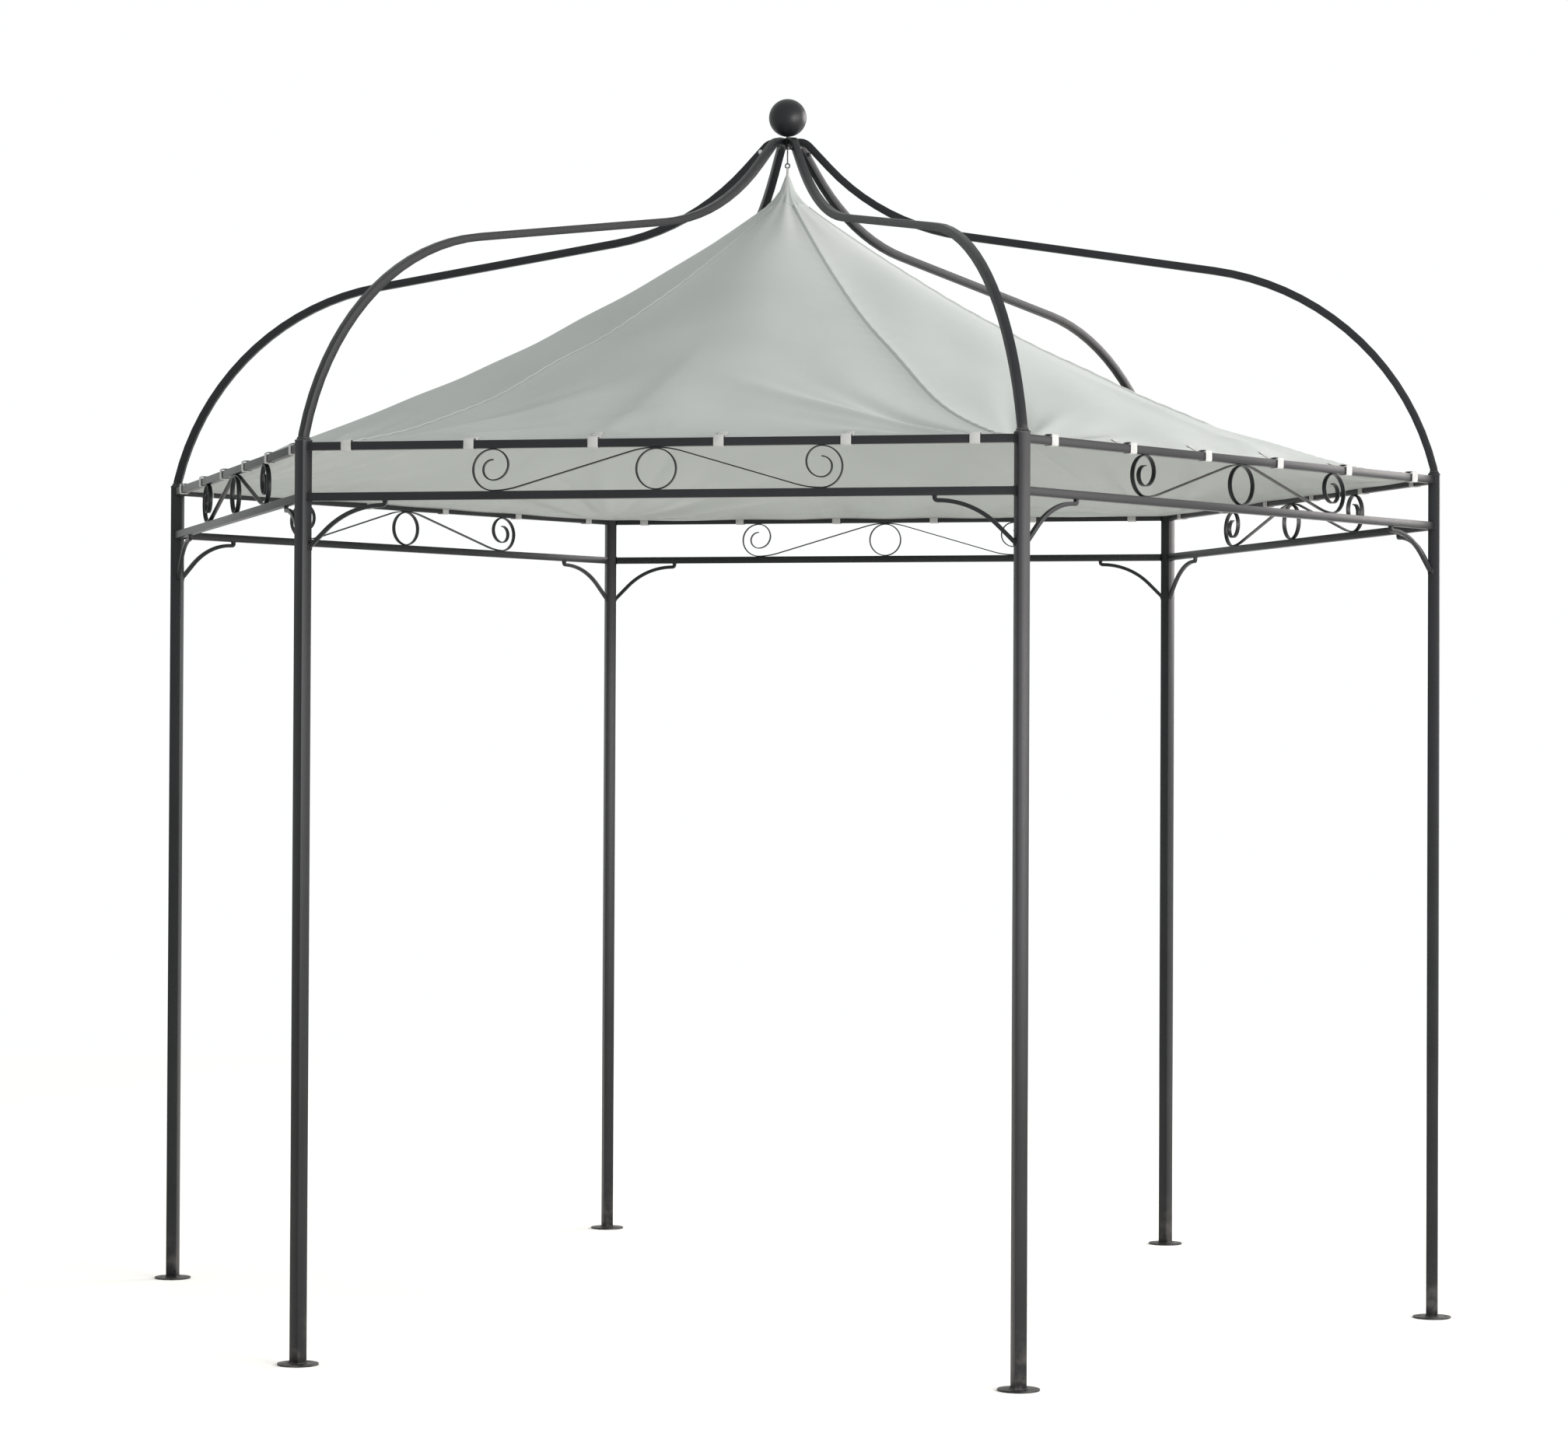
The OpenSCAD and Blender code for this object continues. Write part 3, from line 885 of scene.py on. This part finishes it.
@dataclass
class CanopyShape:
    """The surface of the hung canopy, from its six hollow seams to its slack hem.

    Its methods take t, the share of the way out to the hem; panel, the number of a point's panel
    from 0; and along, the share of the way from one seam of the panel to the next.
    """

    inset: float = 0.003
    hem_gap: float = 0.0126
    under_z: float = 2.213
    peak_z: float = 3.0757
    thick: float = 0.003
    peak_h: float = 0.067
    peak_r: float = 0.018
    straight: float = 0.22
    slant: float = 1.12
    belly_h: float = 0.098
    belly_shift: float = 1.15
    belly_edge: float = 0.7
    tautness: float = 0.36
    taut_level: float = 0.95
    taut_span: Pair = (0.45, 0.85)
    strap_end: float = 0.110
    straps: int = 6
    strap_dip: float = 0.0045
    strap_wave: float = 0.0012
    strap_pull: float = 0.0040
    fold_turns: tuple[float, ...] = (9.0, 19.0, 30.0, 42.0)
    corner_ripple: Pair = (0.0011, 0.034)
    pleats: tuple[Triple, ...] = ((0.0017, 18.0, 0.7), (0.0014, 13.0, 0.0))
    seam_ridges: tuple[Pair, ...] = ((0.0028, 0.015), (0.0026, 0.055), (-0.0030, 0.20))
    seam_pucker: Pair = (0.0007, 0.052)
    pulls: tuple[Pair, ...] = ((0.44, 0.0080), (0.58, 0.0045), (0.37, 0.0050),
                               (0.52, 0.0055), (0.425, 0.0090), (0.60, 0.0060))
    pull_sides: Pair = (0.050, 0.14)
    unevenness: float = 0.0008

    def __post_init__(self) -> None:
        """Works out what follows from the sizes."""
        self.side = PLAN.corner_r
        self.apothem = PLAN.corner_r * math.cos(SECTOR / 2.0) - self.hem_gap
        self.reach = PLAN.corner_r - PLAN.post_w / 2.0 - self.inset
        self.corner = self.apothem / math.cos(SECTOR / 2.0)
        self.rise = self.peak_z - self.under_z - self.peak_h
        self.pitch = (self.side - 2.0 * self.strap_end) / (self.straps - 1)
        first = self.strap_end - self.side / 2.0
        self.strap_places = [first + n * self.pitch for n in range(self.straps)]
        self.folds = [self.corner_folds(seeded(11, k)) for k in range(12)]

    def corner_folds(self, rng: np.random.Generator) -> list[Fold]:
        """Returns one corner's folds, from the source of its chances."""
        folds = []
        for n, direction in enumerate(self.fold_turns):
            sign = -1.0 if n % 2 else 1.0
            folds.append(Fold(math.radians(direction + rng.uniform(-3.0, 3.0)),
                              math.radians(rng.uniform(2.6, 4.2)),
                              sign * rng.uniform(0.0055, 0.0105), rng.uniform(0.60, 1.15)))
        return folds

    def smooth_height(self, t: Array, angle: Array) -> Array:
        """Returns the height of the taut cloth.

        Args:
            t: The share of the way out to the hem.
            angle: The angle from the middle of the panel, in radians.

        Returns:
            Heights at the middle of the cloth.
        """
        belly = np.abs(np.sin(np.pi * np.clip(t, 0.0, 1.0) ** self.belly_shift)) ** self.belly_edge
        taut = self.tautness * (1.0 - smooth_step(t, *self.taut_span))
        return (self.under_z + self.thick / 2.0
                + self.rise * ((1.0 - self.straight) * (1.0 - t) ** 2 + self.straight * (1.0 - t))
                + self.peak_h * np.exp(-t * PLAN.corner_r / self.peak_r)
                + self.belly_h * belly * ((1.0 - taut) * np.cos(3.0 * angle) + self.taut_level * taut))

    def corner_lift(self, panel: Array, across: Array, down: Array) -> Array:
        """Returns how far the folds and ripples at the corners lift the cloth.

        Args:
            panel: The number of each point's panel.
            across: Its distance from the panel's middle line.
            down: Its distance from the hem.

        Returns:
            The lift of each point.
        """
        lift = np.zeros_like(down)
        height, pitch = self.corner_ripple
        for end, way in enumerate((1.0, -1.0)):
            from_corner = self.corner / 2.0 + way * across
            rho, phi = np.hypot(down, from_corner), np.arctan2(down, from_corner)
            for k in range(6):
                for fold in self.folds[2 * k + end]:
                    fade = 1.0 - smooth_step(rho, 0.45 * fold.length, fold.length)
                    fan = bell(phi - fold.direction, fold.width) * smooth_step(rho, 0.02, 0.30)
                    lift += (panel == k) * fade * fold.height * fan
            ripple = np.cos(TURN * down / pitch) * bell(rho - 0.13, 0.09)
            lift += height * ripple * smooth_step(down, 0.008, 0.04)
        return lift

    def seam_lift(self, t: Array, from_seam: Array) -> Array:
        """Returns how far the cloth lifts beside its seams.

        Args:
            t: The share of the way out to the hem.
            from_seam: The distance from the nearest seam.

        Returns:
            The lift of each point.
        """
        taut = smooth_step(t, 0.04, 0.20) * (1.0 - 0.7 * smooth_step(t, 0.88, 1.0))
        lift = taut * sum(height * bell(from_seam, width) for height, width in self.seam_ridges)
        height, pitch = self.seam_pucker
        pucker = np.cos(TURN * t * self.corner / pitch) * bell(from_seam, 0.05)
        return lift + height * pucker * smooth_step(t, 0.10, 0.2)

    def panel_lift(self, t: Array, panel: Array, along: Array) -> Array:
        """Returns how far each panel's long pull and its unevenness lift the cloth.

        Args:
            t: The share of the way out to the hem.
            panel: The number of each point's panel.
            along: The share of the way along the panel.

        Returns:
            The lift of each point.
        """
        lift = np.zeros_like(t)
        for k, (middle, height) in enumerate(self.pulls):
            off = (along - middle - 0.10 * (1.0 - t)) * t * self.corner
            lift += (panel == k) * height * bell(off, np.where(off < 0.0, *self.pull_sides))
        lift *= smooth_step(t, 0.45, 0.75) * (1.0 - smooth_step(t, 0.95, 1.0))
        r, turn = t * self.corner, (panel + along) * SECTOR
        pleat = smooth_step(r, 0.010, 0.05) * (1.0 - smooth_step(r, 0.09, 0.36))
        lift += pleat * sum(height * np.cos(n * turn + start) for height, n, start in self.pleats)
        rng = seeded(23)
        uneven = np.zeros_like(t)
        for _ in range(9):
            kx, ky = rng.normal(0.0, 9.0, 2)
            uneven += np.cos(kx * r * np.cos(turn) + ky * r * np.sin(turn) + rng.uniform(0.0, 6.28))
        return lift + self.unevenness * uneven * smooth_step(r, 0.1, 0.4)

    def creases(self, t: Array, panel: Array, along: Array) -> tuple[Array, Array]:
        """Returns how the cloth folds and sags away from its taut shape.

        Args:
            t: The share of the way out to the hem.
            panel: The number of each point's panel.
            along: The share of the way along the panel.

        Returns:
            The change in height and the pull inwards from the hem.
        """
        width = t * self.corner
        across = (along - 0.5) * width
        down = (1.0 - t) * self.apothem * self.slant
        strap = (across - self.strap_places[0]) / self.pitch
        between = np.sin(np.pi * np.clip(strap, 0.0, self.straps - 1.0)) ** 2
        wave = np.cos(2.0 * TURN * strap) * np.exp(-down / 0.07) * (1.0 - t ** 40)
        lift = (self.corner_lift(panel, across, down)
                + self.seam_lift(t, np.minimum(along, 1.0 - along) * width)
                + self.panel_lift(t, panel, along)
                + self.strap_wave * wave - self.strap_dip * between * np.exp(-down / 0.11))
        hold = 1.0 - smooth_step(t, 0.97, 1.0) * 0.6
        return lift * hold, self.strap_pull * between * np.exp(-down / 0.09)

    def point(self, t: Array, panel: Array, along: Array, over: Array | float = 0.0) -> Array:
        """Returns points of the canopy.

        Args:
            t: The share of the way out to the hem.
            panel: The number of each point's panel.
            along: The share of the way along the panel.
            over: How far each point stands off the cloth's middle, upwards.

        Returns:
            The points, one row each.
        """
        t, panel, along, over = np.broadcast_arrays(
            np.asarray(t, float), panel, np.asarray(along, float), np.asarray(over, float))
        across = (along * 2.0 - 1.0) * math.tan(SECTOR / 2.0)
        angle = np.arctan(across)
        lift, pull = self.creases(t, panel, along)
        near = t * self.apothem - pull
        r = np.minimum(near / np.cos(angle), self.reach)
        turn = (panel + 0.5) * SECTOR + angle
        z = self.smooth_height(t, angle) + lift
        slope = self.slope(t, angle)
        r, z = r + over * np.sin(slope), z + over * np.cos(slope)
        return np.stack([r * np.cos(turn), r * np.sin(turn), z], -1)

    def on_seam(self, seam: int, t: Array, across: Array) -> tuple[Array, Array, Array]:
        """Returns the places at a share out and at a distance from a seam towards the next panel."""
        t, across = np.broadcast_arrays(t, across)
        share = across / (t * self.corner)
        panel = np.where(across >= 0.0, seam, (seam - 1) % 6)
        return t, panel, np.where(share >= 0.0, share, 1.0 + share)

    def on_panel(self, panel: int, x: float, t: Array, across: Array) -> tuple[Array, int, Array]:
        """Returns the places beside a line down a panel, x away from its middle."""
        return t, panel, 0.5 + (x + across) / (t * self.corner)

    def slope(self, t: Array, angle: Array) -> Array:
        """Returns how steeply the taut cloth falls outwards, in radians."""
        step = 0.002
        fall = self.smooth_height(t - step, angle) - self.smooth_height(t + step, angle)
        return np.arctan2(fall, 2.0 * step * self.apothem / np.cos(angle))


def on_share(panel: int, t: Array, along: Array) -> tuple[Array, int, Array]:
    """Returns the places at shares out and along a panel."""
    return t, panel, along


def round_peak(t: Array, turn: Array) -> tuple[Array, Array, Array]:
    """Returns the places round the peak, where each panel is a turn of 1."""
    return t, turn.astype(int) % 6, turn % 1.0


@dataclass
class Canopy:
    """The sewn canopy: its cloth, seams, hem, corner patches and peak loop."""

    finishes: Finishes
    shape: CanopyShape
    rings: int = 126
    crowding: float = 1.22
    cloth_t: float = 0.0009
    weave_slant: float = 1.15
    stitch_x: float = 0.00504
    hem_w: float = 0.026
    patch_w: Pair = (0.016, 0.066)
    patch_t: float = 0.0016
    patch_at: Pair = (0.925, 0.059)
    tab_at: Pair = (0.940, 0.992)
    tab_rise: float = 0.0046
    tab_w: float = 0.026
    peak_t: float = 0.0012
    stitch_pitch: float = 0.0085
    stitch_l: float = 0.0058
    stitch_r: float = 0.00045
    sewn_in: float = 1.03

    def cloth(self) -> bpy.types.Object:
        """Builds the one continuous sheet of cloth and returns it."""
        t_list, panel_list, along_list = [np.zeros(1)], [np.zeros(1, int)], [np.zeros(1)]
        for n in range(1, self.rings + 1):
            for panel in range(6):
                t_list.append(np.full(n, (n / self.rings) ** self.crowding))
                panel_list.append(np.full(n, panel))
                along_list.append(np.arange(n) / n)
        t, panel, along = (np.concatenate(part) for part in (t_list, panel_list, along_list))
        points = self.shape.point(t, panel, along)
        faces, cuts = [], []

        def at(n: int, side: int, j: int) -> int:
            """Returns the number of a point on ring n."""
            return 0 if n == 0 else 1 + 3 * n * (n - 1) + (side * n + j) % (6 * n)

        def flat(n: int, j: int) -> tuple[float, float, float]:
            """Returns the flat place of a point in its panel."""
            share = (n / self.rings) ** self.crowding
            return ((j / max(n, 1) - 0.5) * share * self.shape.corner,
                    (1.0 - share) * self.shape.apothem * self.weave_slant, 0.0)

        for n in range(1, self.rings + 1):
            for side, j in itertools.product(range(6), range(n)):
                threes = [((n - 1, j), (n, j), (n, j + 1)), ((n - 1, j), (n, j + 1), (n - 1, j + 1))]
                for three in threes if j < n - 1 else threes[:1]:
                    faces.append([at(ring, side, k) for ring, k in three])
                    cuts += [flat(ring, k) for ring, k in three]
        mesh = bpy.data.meshes.new("canopy_cloth")
        mesh.from_pydata(points.tolist(), [], faces)
        mesh.shade_smooth()
        piece = placed(mesh, cuts, self.finishes.cloth, "CORNER")
        skin = piece.modifiers.new("thickness", "SOLIDIFY")
        skin.thickness = self.cloth_t
        skin.offset = 0.0
        return piece

    def strip(self, draft: Draft, places: tuple[Array, Array, Array], across: Array,
              rises: Array) -> None:
        """Adds a flat strip that follows the cloth.

        Args:
            draft: The piece that it belongs to.
            places: Where its points lie, by station and place across.
            across: The flat place across of each point of its section.
            rises: The height of each point of its section over the cloth's middle.
        """
        rows = self.shape.point(*places, rises)
        draft.grid(rows, cut_at(across, run_along(rows[:, len(rises) // 4])[:, None]))

    def section(self, width: float, thick: float) -> tuple[Array, Array]:
        """Returns the places across and the heights of a flat strip's outline."""
        across = np.array([-1.0, -0.9, -0.3, 0.3, 0.9, 1.0, 0.5, -0.5]) * width / 2.0
        base, top = self.cloth_t * 0.1, self.cloth_t / 2.0 + thick
        return across, np.array([top * 0.55, top, top, top, top, top * 0.55, base, base])

    def stitch_row(self, draft: Draft, place: Place, start: Pair, end: Pair, over: float) -> None:
        """Adds a row of stitches.

        Args:
            draft: The piece that they belong to.
            place: What turns a share out and a place across into a place on the canopy.
            start: The share out and the place across where the row starts.
            end: Where it ends.
            over: How far the row lies over the cloth's middle.
        """

        def line(share: Array) -> Array:
            """Returns the row's points at shares of its length."""
            t, across = (a + (b - a) * share for a, b in zip(start, end))
            return self.shape.point(*place(t, across), over)

        length = float(run_along(line(np.linspace(0.0, 1.0, 200)))[-1])
        n = max(2, round(length / self.stitch_pitch))
        centres, half = (np.arange(n) + 0.5) / n, self.stitch_l / length / 2.0
        a, middle, b = line(centres - half), line(centres), line(centres + half)
        ahead = (b - a) / np.linalg.norm(b - a, axis=1)[:, None]
        side = np.cross(ahead, UP)
        side /= np.linalg.norm(side, axis=1)[:, None] + 1e-12
        side, over_it = side * self.stitch_r, np.cross(side, ahead) * self.stitch_r
        for k in range(n):
            stations = np.array([a[k] - over_it[k] * 0.7, middle[k] + over_it[k] * 0.35,
                                 b[k] - over_it[k] * 0.7])
            ring = np.array([side[k], over_it[k], -side[k], -over_it[k]])
            draft.grid(stations[:, None] + ring * np.array([0.55, 1.0, 0.55])[:, None, None])

    def seams(self) -> None:
        """Builds the felled seams and their two rows of stitches."""
        draft, thread = Draft("canopy_seams"), Draft("seam_stitches")
        outline = [(-7.0, 0.7), (-6.6, 1.2), (-4.0, 1.3), (-3.2, 2.0), (-2.0, 2.9), (0.0, 3.3),
                   (2.0, 2.9), (3.2, 2.0), (4.0, 1.3), (6.6, 1.2), (7.0, 0.7),
                   (3.5, 0.1), (0.0, 0.1), (-3.5, 0.1)]
        across, rises = np.array(outline).T * 0.001
        t = np.linspace(0.035, 0.996, 190)[:, None]
        for seam in range(6):
            place = partial(self.shape.on_seam, seam)
            self.strip(draft, place(t, across), across, rises)
            for x in (-self.stitch_x, self.stitch_x):
                self.stitch_row(thread, place, (0.04, x), (0.99, x), self.cloth_t / 2.0 + 0.0011)
        draft.build(self.finishes.cloth, Slot.CANOPY)
        thread.build(self.finishes.thread, Slot.CANOPY)

    def hem(self) -> None:
        """Builds the folded hem and its stitches."""
        draft, thread = Draft("canopy_hem"), Draft("hem_stitches")
        depth = self.hem_w / self.shape.apothem
        lift = self.cloth_t / 2.0
        shares = np.array([1.0, 0.97, 0.5, 0.0, 0.0]) * depth + [0.0, 0.0, 0.0, 0.002, 0.0]
        rises = lift * np.array([0.4, 1.0, 1.0, 1.0, 0.6]) + [0.0, 0.0006, 0.0008, 0.0008, 0.0]
        shares, rises = np.append(shares, shares[::-1]), np.append(rises, -rises[::-1])
        along = np.linspace(0.0, 1.0, 129)[:-1, None]
        row_t = 1.0 - 0.82 * depth
        rows = []
        for panel in range(6):
            rows.append(self.shape.point(1.0 - shares, panel, along, rises))
            place = partial(on_share, panel)
            self.stitch_row(thread, place, (row_t, 0.01), (row_t, 0.99), lift + 0.0008)
        cut = cut_at(along * self.shape.side, shares * 1.2)
        draft.grid(np.concatenate(rows), np.concatenate([cut] * 6), loop=True)
        draft.build(self.finishes.cloth, Slot.CANOPY)
        thread.build(self.finishes.thread, Slot.CANOPY)

    def patches(self) -> None:
        """Builds the doubled cloth at the corners and round the peak, with its stitches."""
        draft, thread, tabs = Draft("canopy_patches"), Draft("patch_stitches"), Draft("corner_tabs")
        (narrow, spread), (start, reach) = self.patch_w, self.patch_at
        share = np.linspace(0.0, 1.0, 12)[:, None]
        patch_t, tab_t = start + reach * share, np.linspace(*self.tab_at, 14)[:, None]
        across, rises = self.section(2.0, self.patch_t)
        tab_across, tab_rises = self.section(self.tab_w, self.patch_t)
        for seam in range(6):
            place = partial(self.shape.on_seam, seam)
            places = place(patch_t, (narrow + spread * share) * across)
            self.strip(draft, places, across * 0.08, rises)
            self.strip(tabs, place(tab_t, tab_across), tab_across, tab_rises + self.tab_rise)
            for way in (-1.0, 1.0):
                row = [(start + reach * a, way * (narrow - 0.004 + spread * b))
                       for a, b in ((0.06, 0.03), (0.96, 0.93))]
                self.stitch_row(thread, place, *row, self.cloth_t / 2.0 + 0.0018)
        tabs.build(self.finishes.webbing, Slot.WEBBING)
        ring, base = np.arange(96) / 16.0, self.cloth_t * 0.1
        panel = ring.astype(int)
        outline = [(0.0030, 0.0), (0.0030, 1.0), (0.012, 1.0), (0.024, 1.0), (0.036, 1.0),
                   (0.0365, 0.0), (0.024, 0.0), (0.012, 0.0)]
        rows = [self.shape.point(t, panel, ring - panel, base + rise * self.peak_t)
                for t, rise in outline]
        draft.grid(np.array(rows), loop=True)
        for t in (0.0200, 0.0335):
            self.stitch_row(thread, round_peak, (t, 0.0), (t, 5.999), base + self.peak_t)
        draft.build(self.finishes.cloth, Slot.CANOPY)
        thread.build(self.finishes.thread, Slot.CANOPY)

    def peak_loop(self) -> None:
        """Builds the loop of tape that hangs the peak from the eye bolt."""
        draft = Draft("peak_loop")
        wire_z, bend = 3.081, 0.0027
        shares = np.array([0.0185, 0.013, 0.008, 0.0045, 0.0025])
        leg = self.shape.point(shares, 1, 0.5, 0.0016)
        leg = np.stack([np.zeros(5), -np.hypot(leg[:, 0], leg[:, 1]), leg[:, 2]], 1)
        arc = [(0.0, -bend * math.cos(a), wire_z + bend * math.sin(a))
               for a in np.linspace(0.0, math.pi, 9)]
        path = np.vstack([leg, arc, (leg * [1.0, -1.0, 1.0])[::-1]])
        section = rounded_outline(0.0024, 0.0005, 0.0004, 2)
        sizes = np.concatenate([np.linspace(2.2, 1.15, 5), np.ones(9), np.linspace(1.15, 2.2, 5)])
        cut = cut_at(section[:, 0], (path[:, 2] * np.sign(path[:, 1]))[:, None])
        draft.sweep(path, section, np.array([1.0, 0.0, 0.0]), scale=sizes, cut=cut)
        draft.build(self.finishes.webbing, Slot.WEBBING)

    def dress(self) -> None:
        """Builds the whole canopy in place of the CAD canopy."""
        cloth = self.cloth()
        self.seams()
        self.hem()
        self.patches()
        self.peak_loop()
        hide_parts("canopy")
        self.flat_area()

    def flat_area(self) -> float:
        """Returns the area of the six gores before they were sewn."""
        seam = self.shape.point(np.linspace(0.0, 1.0, 400), 0, 0.0)
        gore = 0.5 * self.shape.corner * float(run_along(seam)[-1]) * math.cos(SECTOR / 2.0)
        return 6.0 * gore * self.sewn_in


# ---------------------------------------------------------------- the straps


@dataclass
class Straps:
    """Loops of webbing that hold the hem to the upper rails."""

    finishes: Finishes
    shape: CanopyShape
    gap: float = 0.0004
    slack: float = 0.004
    bend_r: float = 0.0028
    thick: float = 0.0017
    width: float = 0.025
    tail_l: float = 0.040
    tilt: float = 0.012

    def loop_path(self) -> Array:
        """Returns the middle line of a loop round the rail, as places inwards and up."""
        half = PLAN.rail_w / 2.0 + self.gap + self.thick / 2.0
        flat, top = half - self.bend_r, half + self.slack
        between = [[(s * flat, top + 0.0004 * math.cos(s * 1.5)) for s in (0.5, 0.0, -0.5)],
                   [(-half - 0.0002, z) for z in (0.006, 0.0, -0.006)],
                   [(s * flat, -half) for s in (-0.4, 0.4)], []]
        points = []
        for turn, (x, z) in enumerate(SQUARE):
            centre_z = top - self.bend_r if z > 0 else -flat
            for k in range(6):
                a = math.radians(90.0) * (turn + k / 5.0)
                points.append((flat * x + self.bend_r * math.cos(a),
                               centre_z + self.bend_r * math.sin(a)))
            points += between[turn]
        return np.array(points)

    def tails(self, canopy: Canopy) -> None:
        """Builds the tails of the loops, sewn to the canopy's hem with a crossed box.

        Args:
            canopy: The canopy that they are sewn to.
        """
        draft, thread = Draft("strap_tails"), Draft("tail_stitches")
        lift = canopy.cloth_t / 2.0 + 0.0007
        section = rounded_outline(self.width / 2.0 - 0.0006, self.thick / 2.0, self.thick * 0.4, 2)
        length = self.shape.apothem * self.shape.slant
        reach = self.tail_l / length
        t = np.linspace(1.0013, 1.0 - reach, 14)[:, None]
        cut = cut_at(section[:, 0], (1.0 - t) * length)
        corners = [(1.0 - b * reach, a * 0.38 * self.width)
                   for a, b in ((-1, 0.16), (1, 0.16), (1, 0.90), (-1, 0.90))]
        for panel in range(6):
            for x in self.shape.strap_places:
                place = partial(self.shape.on_panel, panel, x)
                over = lift + self.thick / 2.0 + section[:, 1]
                draft.grid(self.shape.point(*place(t, section[:, 0]), over), cut)
                for a, b in ((0, 1), (1, 2), (2, 3), (3, 0), (0, 2), (1, 3)):
                    canopy.stitch_row(thread, place, corners[a], corners[b], lift + self.thick)
        draft.build(self.finishes.webbing, Slot.WEBBING)
        thread.build(self.finishes.thread, Slot.WEBBING)

    def dress(self, canopy: Canopy) -> None:
        """Builds the loops and their tails.

        Args:
            canopy: The canopy that they hold.
        """
        self.tails(canopy)
        loops = Draft("strap_loops")
        across, up = self.loop_path().T
        section = rounded_outline(self.width / 2.0, self.thick / 2.0, self.thick * 0.45, 3)
        for side in SIDES:
            rng = seeded(31, side)
            ahead = turned(np.array([0.0, 1.0, 0.0]), SECTOR * (side - 0.5))
            for x in self.shape.strap_places:
                lean = rng.normal(0.0, self.tilt)
                line = np.stack([x + lean * up, across, up + PLAN.rail_heights[1]], 1)
                cut = cut_at(section[:, 0], run_along(line)[:, None])
                loops.sweep(PLAN.on_side(line, side), section, ahead, loop=True, cut=cut)
        piece = loops.build(self.finishes.webbing, Slot.WEBBING)
        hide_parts("canopy_straps")


# ---------------------------------------------------------------- the studio


@dataclass(frozen=True)
class Softbox:
    """One soft light, its place and aim, its width and height, its watts and its colour."""

    name: str
    at: Triple
    target: Triple
    size: Pair
    power: float
    tint: Triple

    def hang(self) -> None:
        """Adds the light to the scene."""
        data = bpy.data.lights.new(self.name, "AREA")
        data.shape = "RECTANGLE"
        data.size, data.size_y = self.size
        data.energy = self.power
        data.color = self.tint
        lamp = bpy.data.objects.new(self.name, data)
        bpy.context.scene.collection.objects.link(lamp)
        lamp.location = self.at
        ahead = Vector(self.target) - Vector(self.at)
        lamp.rotation_euler = ahead.to_track_quat("-Z", "Y").to_euler()


@dataclass
class Studio:
    """The floor, the light and the camera."""

    finishes: Finishes
    camera_at: Triple = (2.2754, -10.9706, 1.4386)
    aim: Pair = (-0.0017, -0.0045)
    lens: float = 94.28
    sensor_w: float = 36.0
    view_end: float = 400.0
    pitch: float = 0.0123
    roll: float = 0.0047
    dome: float = 1.0
    dome_tint: Colour = (1.0, 1.015, 1.01, 1.0)
    floor_r: float = 12.5
    floor_z: float = -0.0005
    softboxes: tuple[Softbox, ...] = (
        Softbox("key_softbox", (8.6, -3.0, 3.2), (0.0, 0.0, 2.0), (7.0, 4.5), 690.0,
                (1.0, 0.95, 0.94)),
        Softbox("rim_softbox", (6.5, 6.5, 4.5), (0.0, 0.0, 2.0), (6.0, 4.0), 620.0,
                (1.0, 0.945, 0.93)),
        Softbox("strip_softbox", (7.5, -6.7, 1.7), (0.0, 0.0, 1.3), (2.0, 3.6), 560.0,
                (1.0, 0.96, 0.98)),
    )

    def camera(self) -> None:
        """Sets the camera at a standing person's eye, level with the gazebo's middle."""
        data = bpy.data.cameras.new("camera")
        data.lens = self.lens
        data.sensor_width = self.sensor_w
        data.clip_end = self.view_end
        camera = bpy.data.objects.new("camera", data)
        bpy.context.scene.collection.objects.link(camera)
        at = Vector(self.camera_at)
        ahead = (Vector((*self.aim, at.z)) - at).normalized()
        level = ahead.cross(UP)
        ahead, up = (ahead * math.cos(self.pitch) + UP * math.sin(self.pitch),
                     UP * math.cos(self.pitch) - ahead * math.sin(self.pitch))
        right = level * math.cos(self.roll) + up * math.sin(self.roll)
        up = up * math.cos(self.roll) - level * math.sin(self.roll)
        pose = Matrix((right, up, -ahead)).transposed().to_4x4()
        pose.translation = at
        camera.matrix_world = pose
        bpy.context.scene.camera = camera

    def floor(self) -> None:
        """Lays the floor."""
        rim = circle(64) * self.floor_r
        mesh = bpy.data.meshes.new("studio_floor")
        mesh.from_pydata(np.column_stack([rim, np.zeros(64)]).tolist(), [], [tuple(range(64))])
        mesh.materials.append(self.finishes.paper)
        floor = bpy.data.objects.new("studio_floor", mesh)
        floor.location.z = self.floor_z
        bpy.context.scene.collection.objects.link(floor)

    def light(self) -> None:
        """Lights the gazebo with a pale dome, and three soft lights from the right."""
        world = bpy.data.worlds.new("pale_dome")
        world.use_nodes = True
        recipe = Recipe(world.node_tree)
        sky = recipe.node("ShaderNodeBackground",
                          sockets={"Color": self.dome_tint, "Strength": self.dome})
        recipe.end("ShaderNodeOutputWorld", sky)
        bpy.context.scene.world = world
        for softbox in self.softboxes:
            softbox.hang()

    def dress(self) -> None:
        """Sets up the whole studio."""
        bpy.context.scene.view_settings.view_transform = "Standard"
        self.camera()
        self.floor()
        self.light()


def main() -> None:
    """Builds and dresses the gazebo."""
    logging.basicConfig(level=logging.INFO, format="%(name)s: %(message)s")
    finishes = Finishes()
    Studio(finishes).dress()
    shape = CanopyShape()
    SteelFrame(finishes).dress()
    Fittings(finishes).dress()
    canopy = Canopy(finishes, shape)
    canopy.dress()
    Straps(finishes, shape).dress(canopy)


if __name__ == "__main__":
    main()
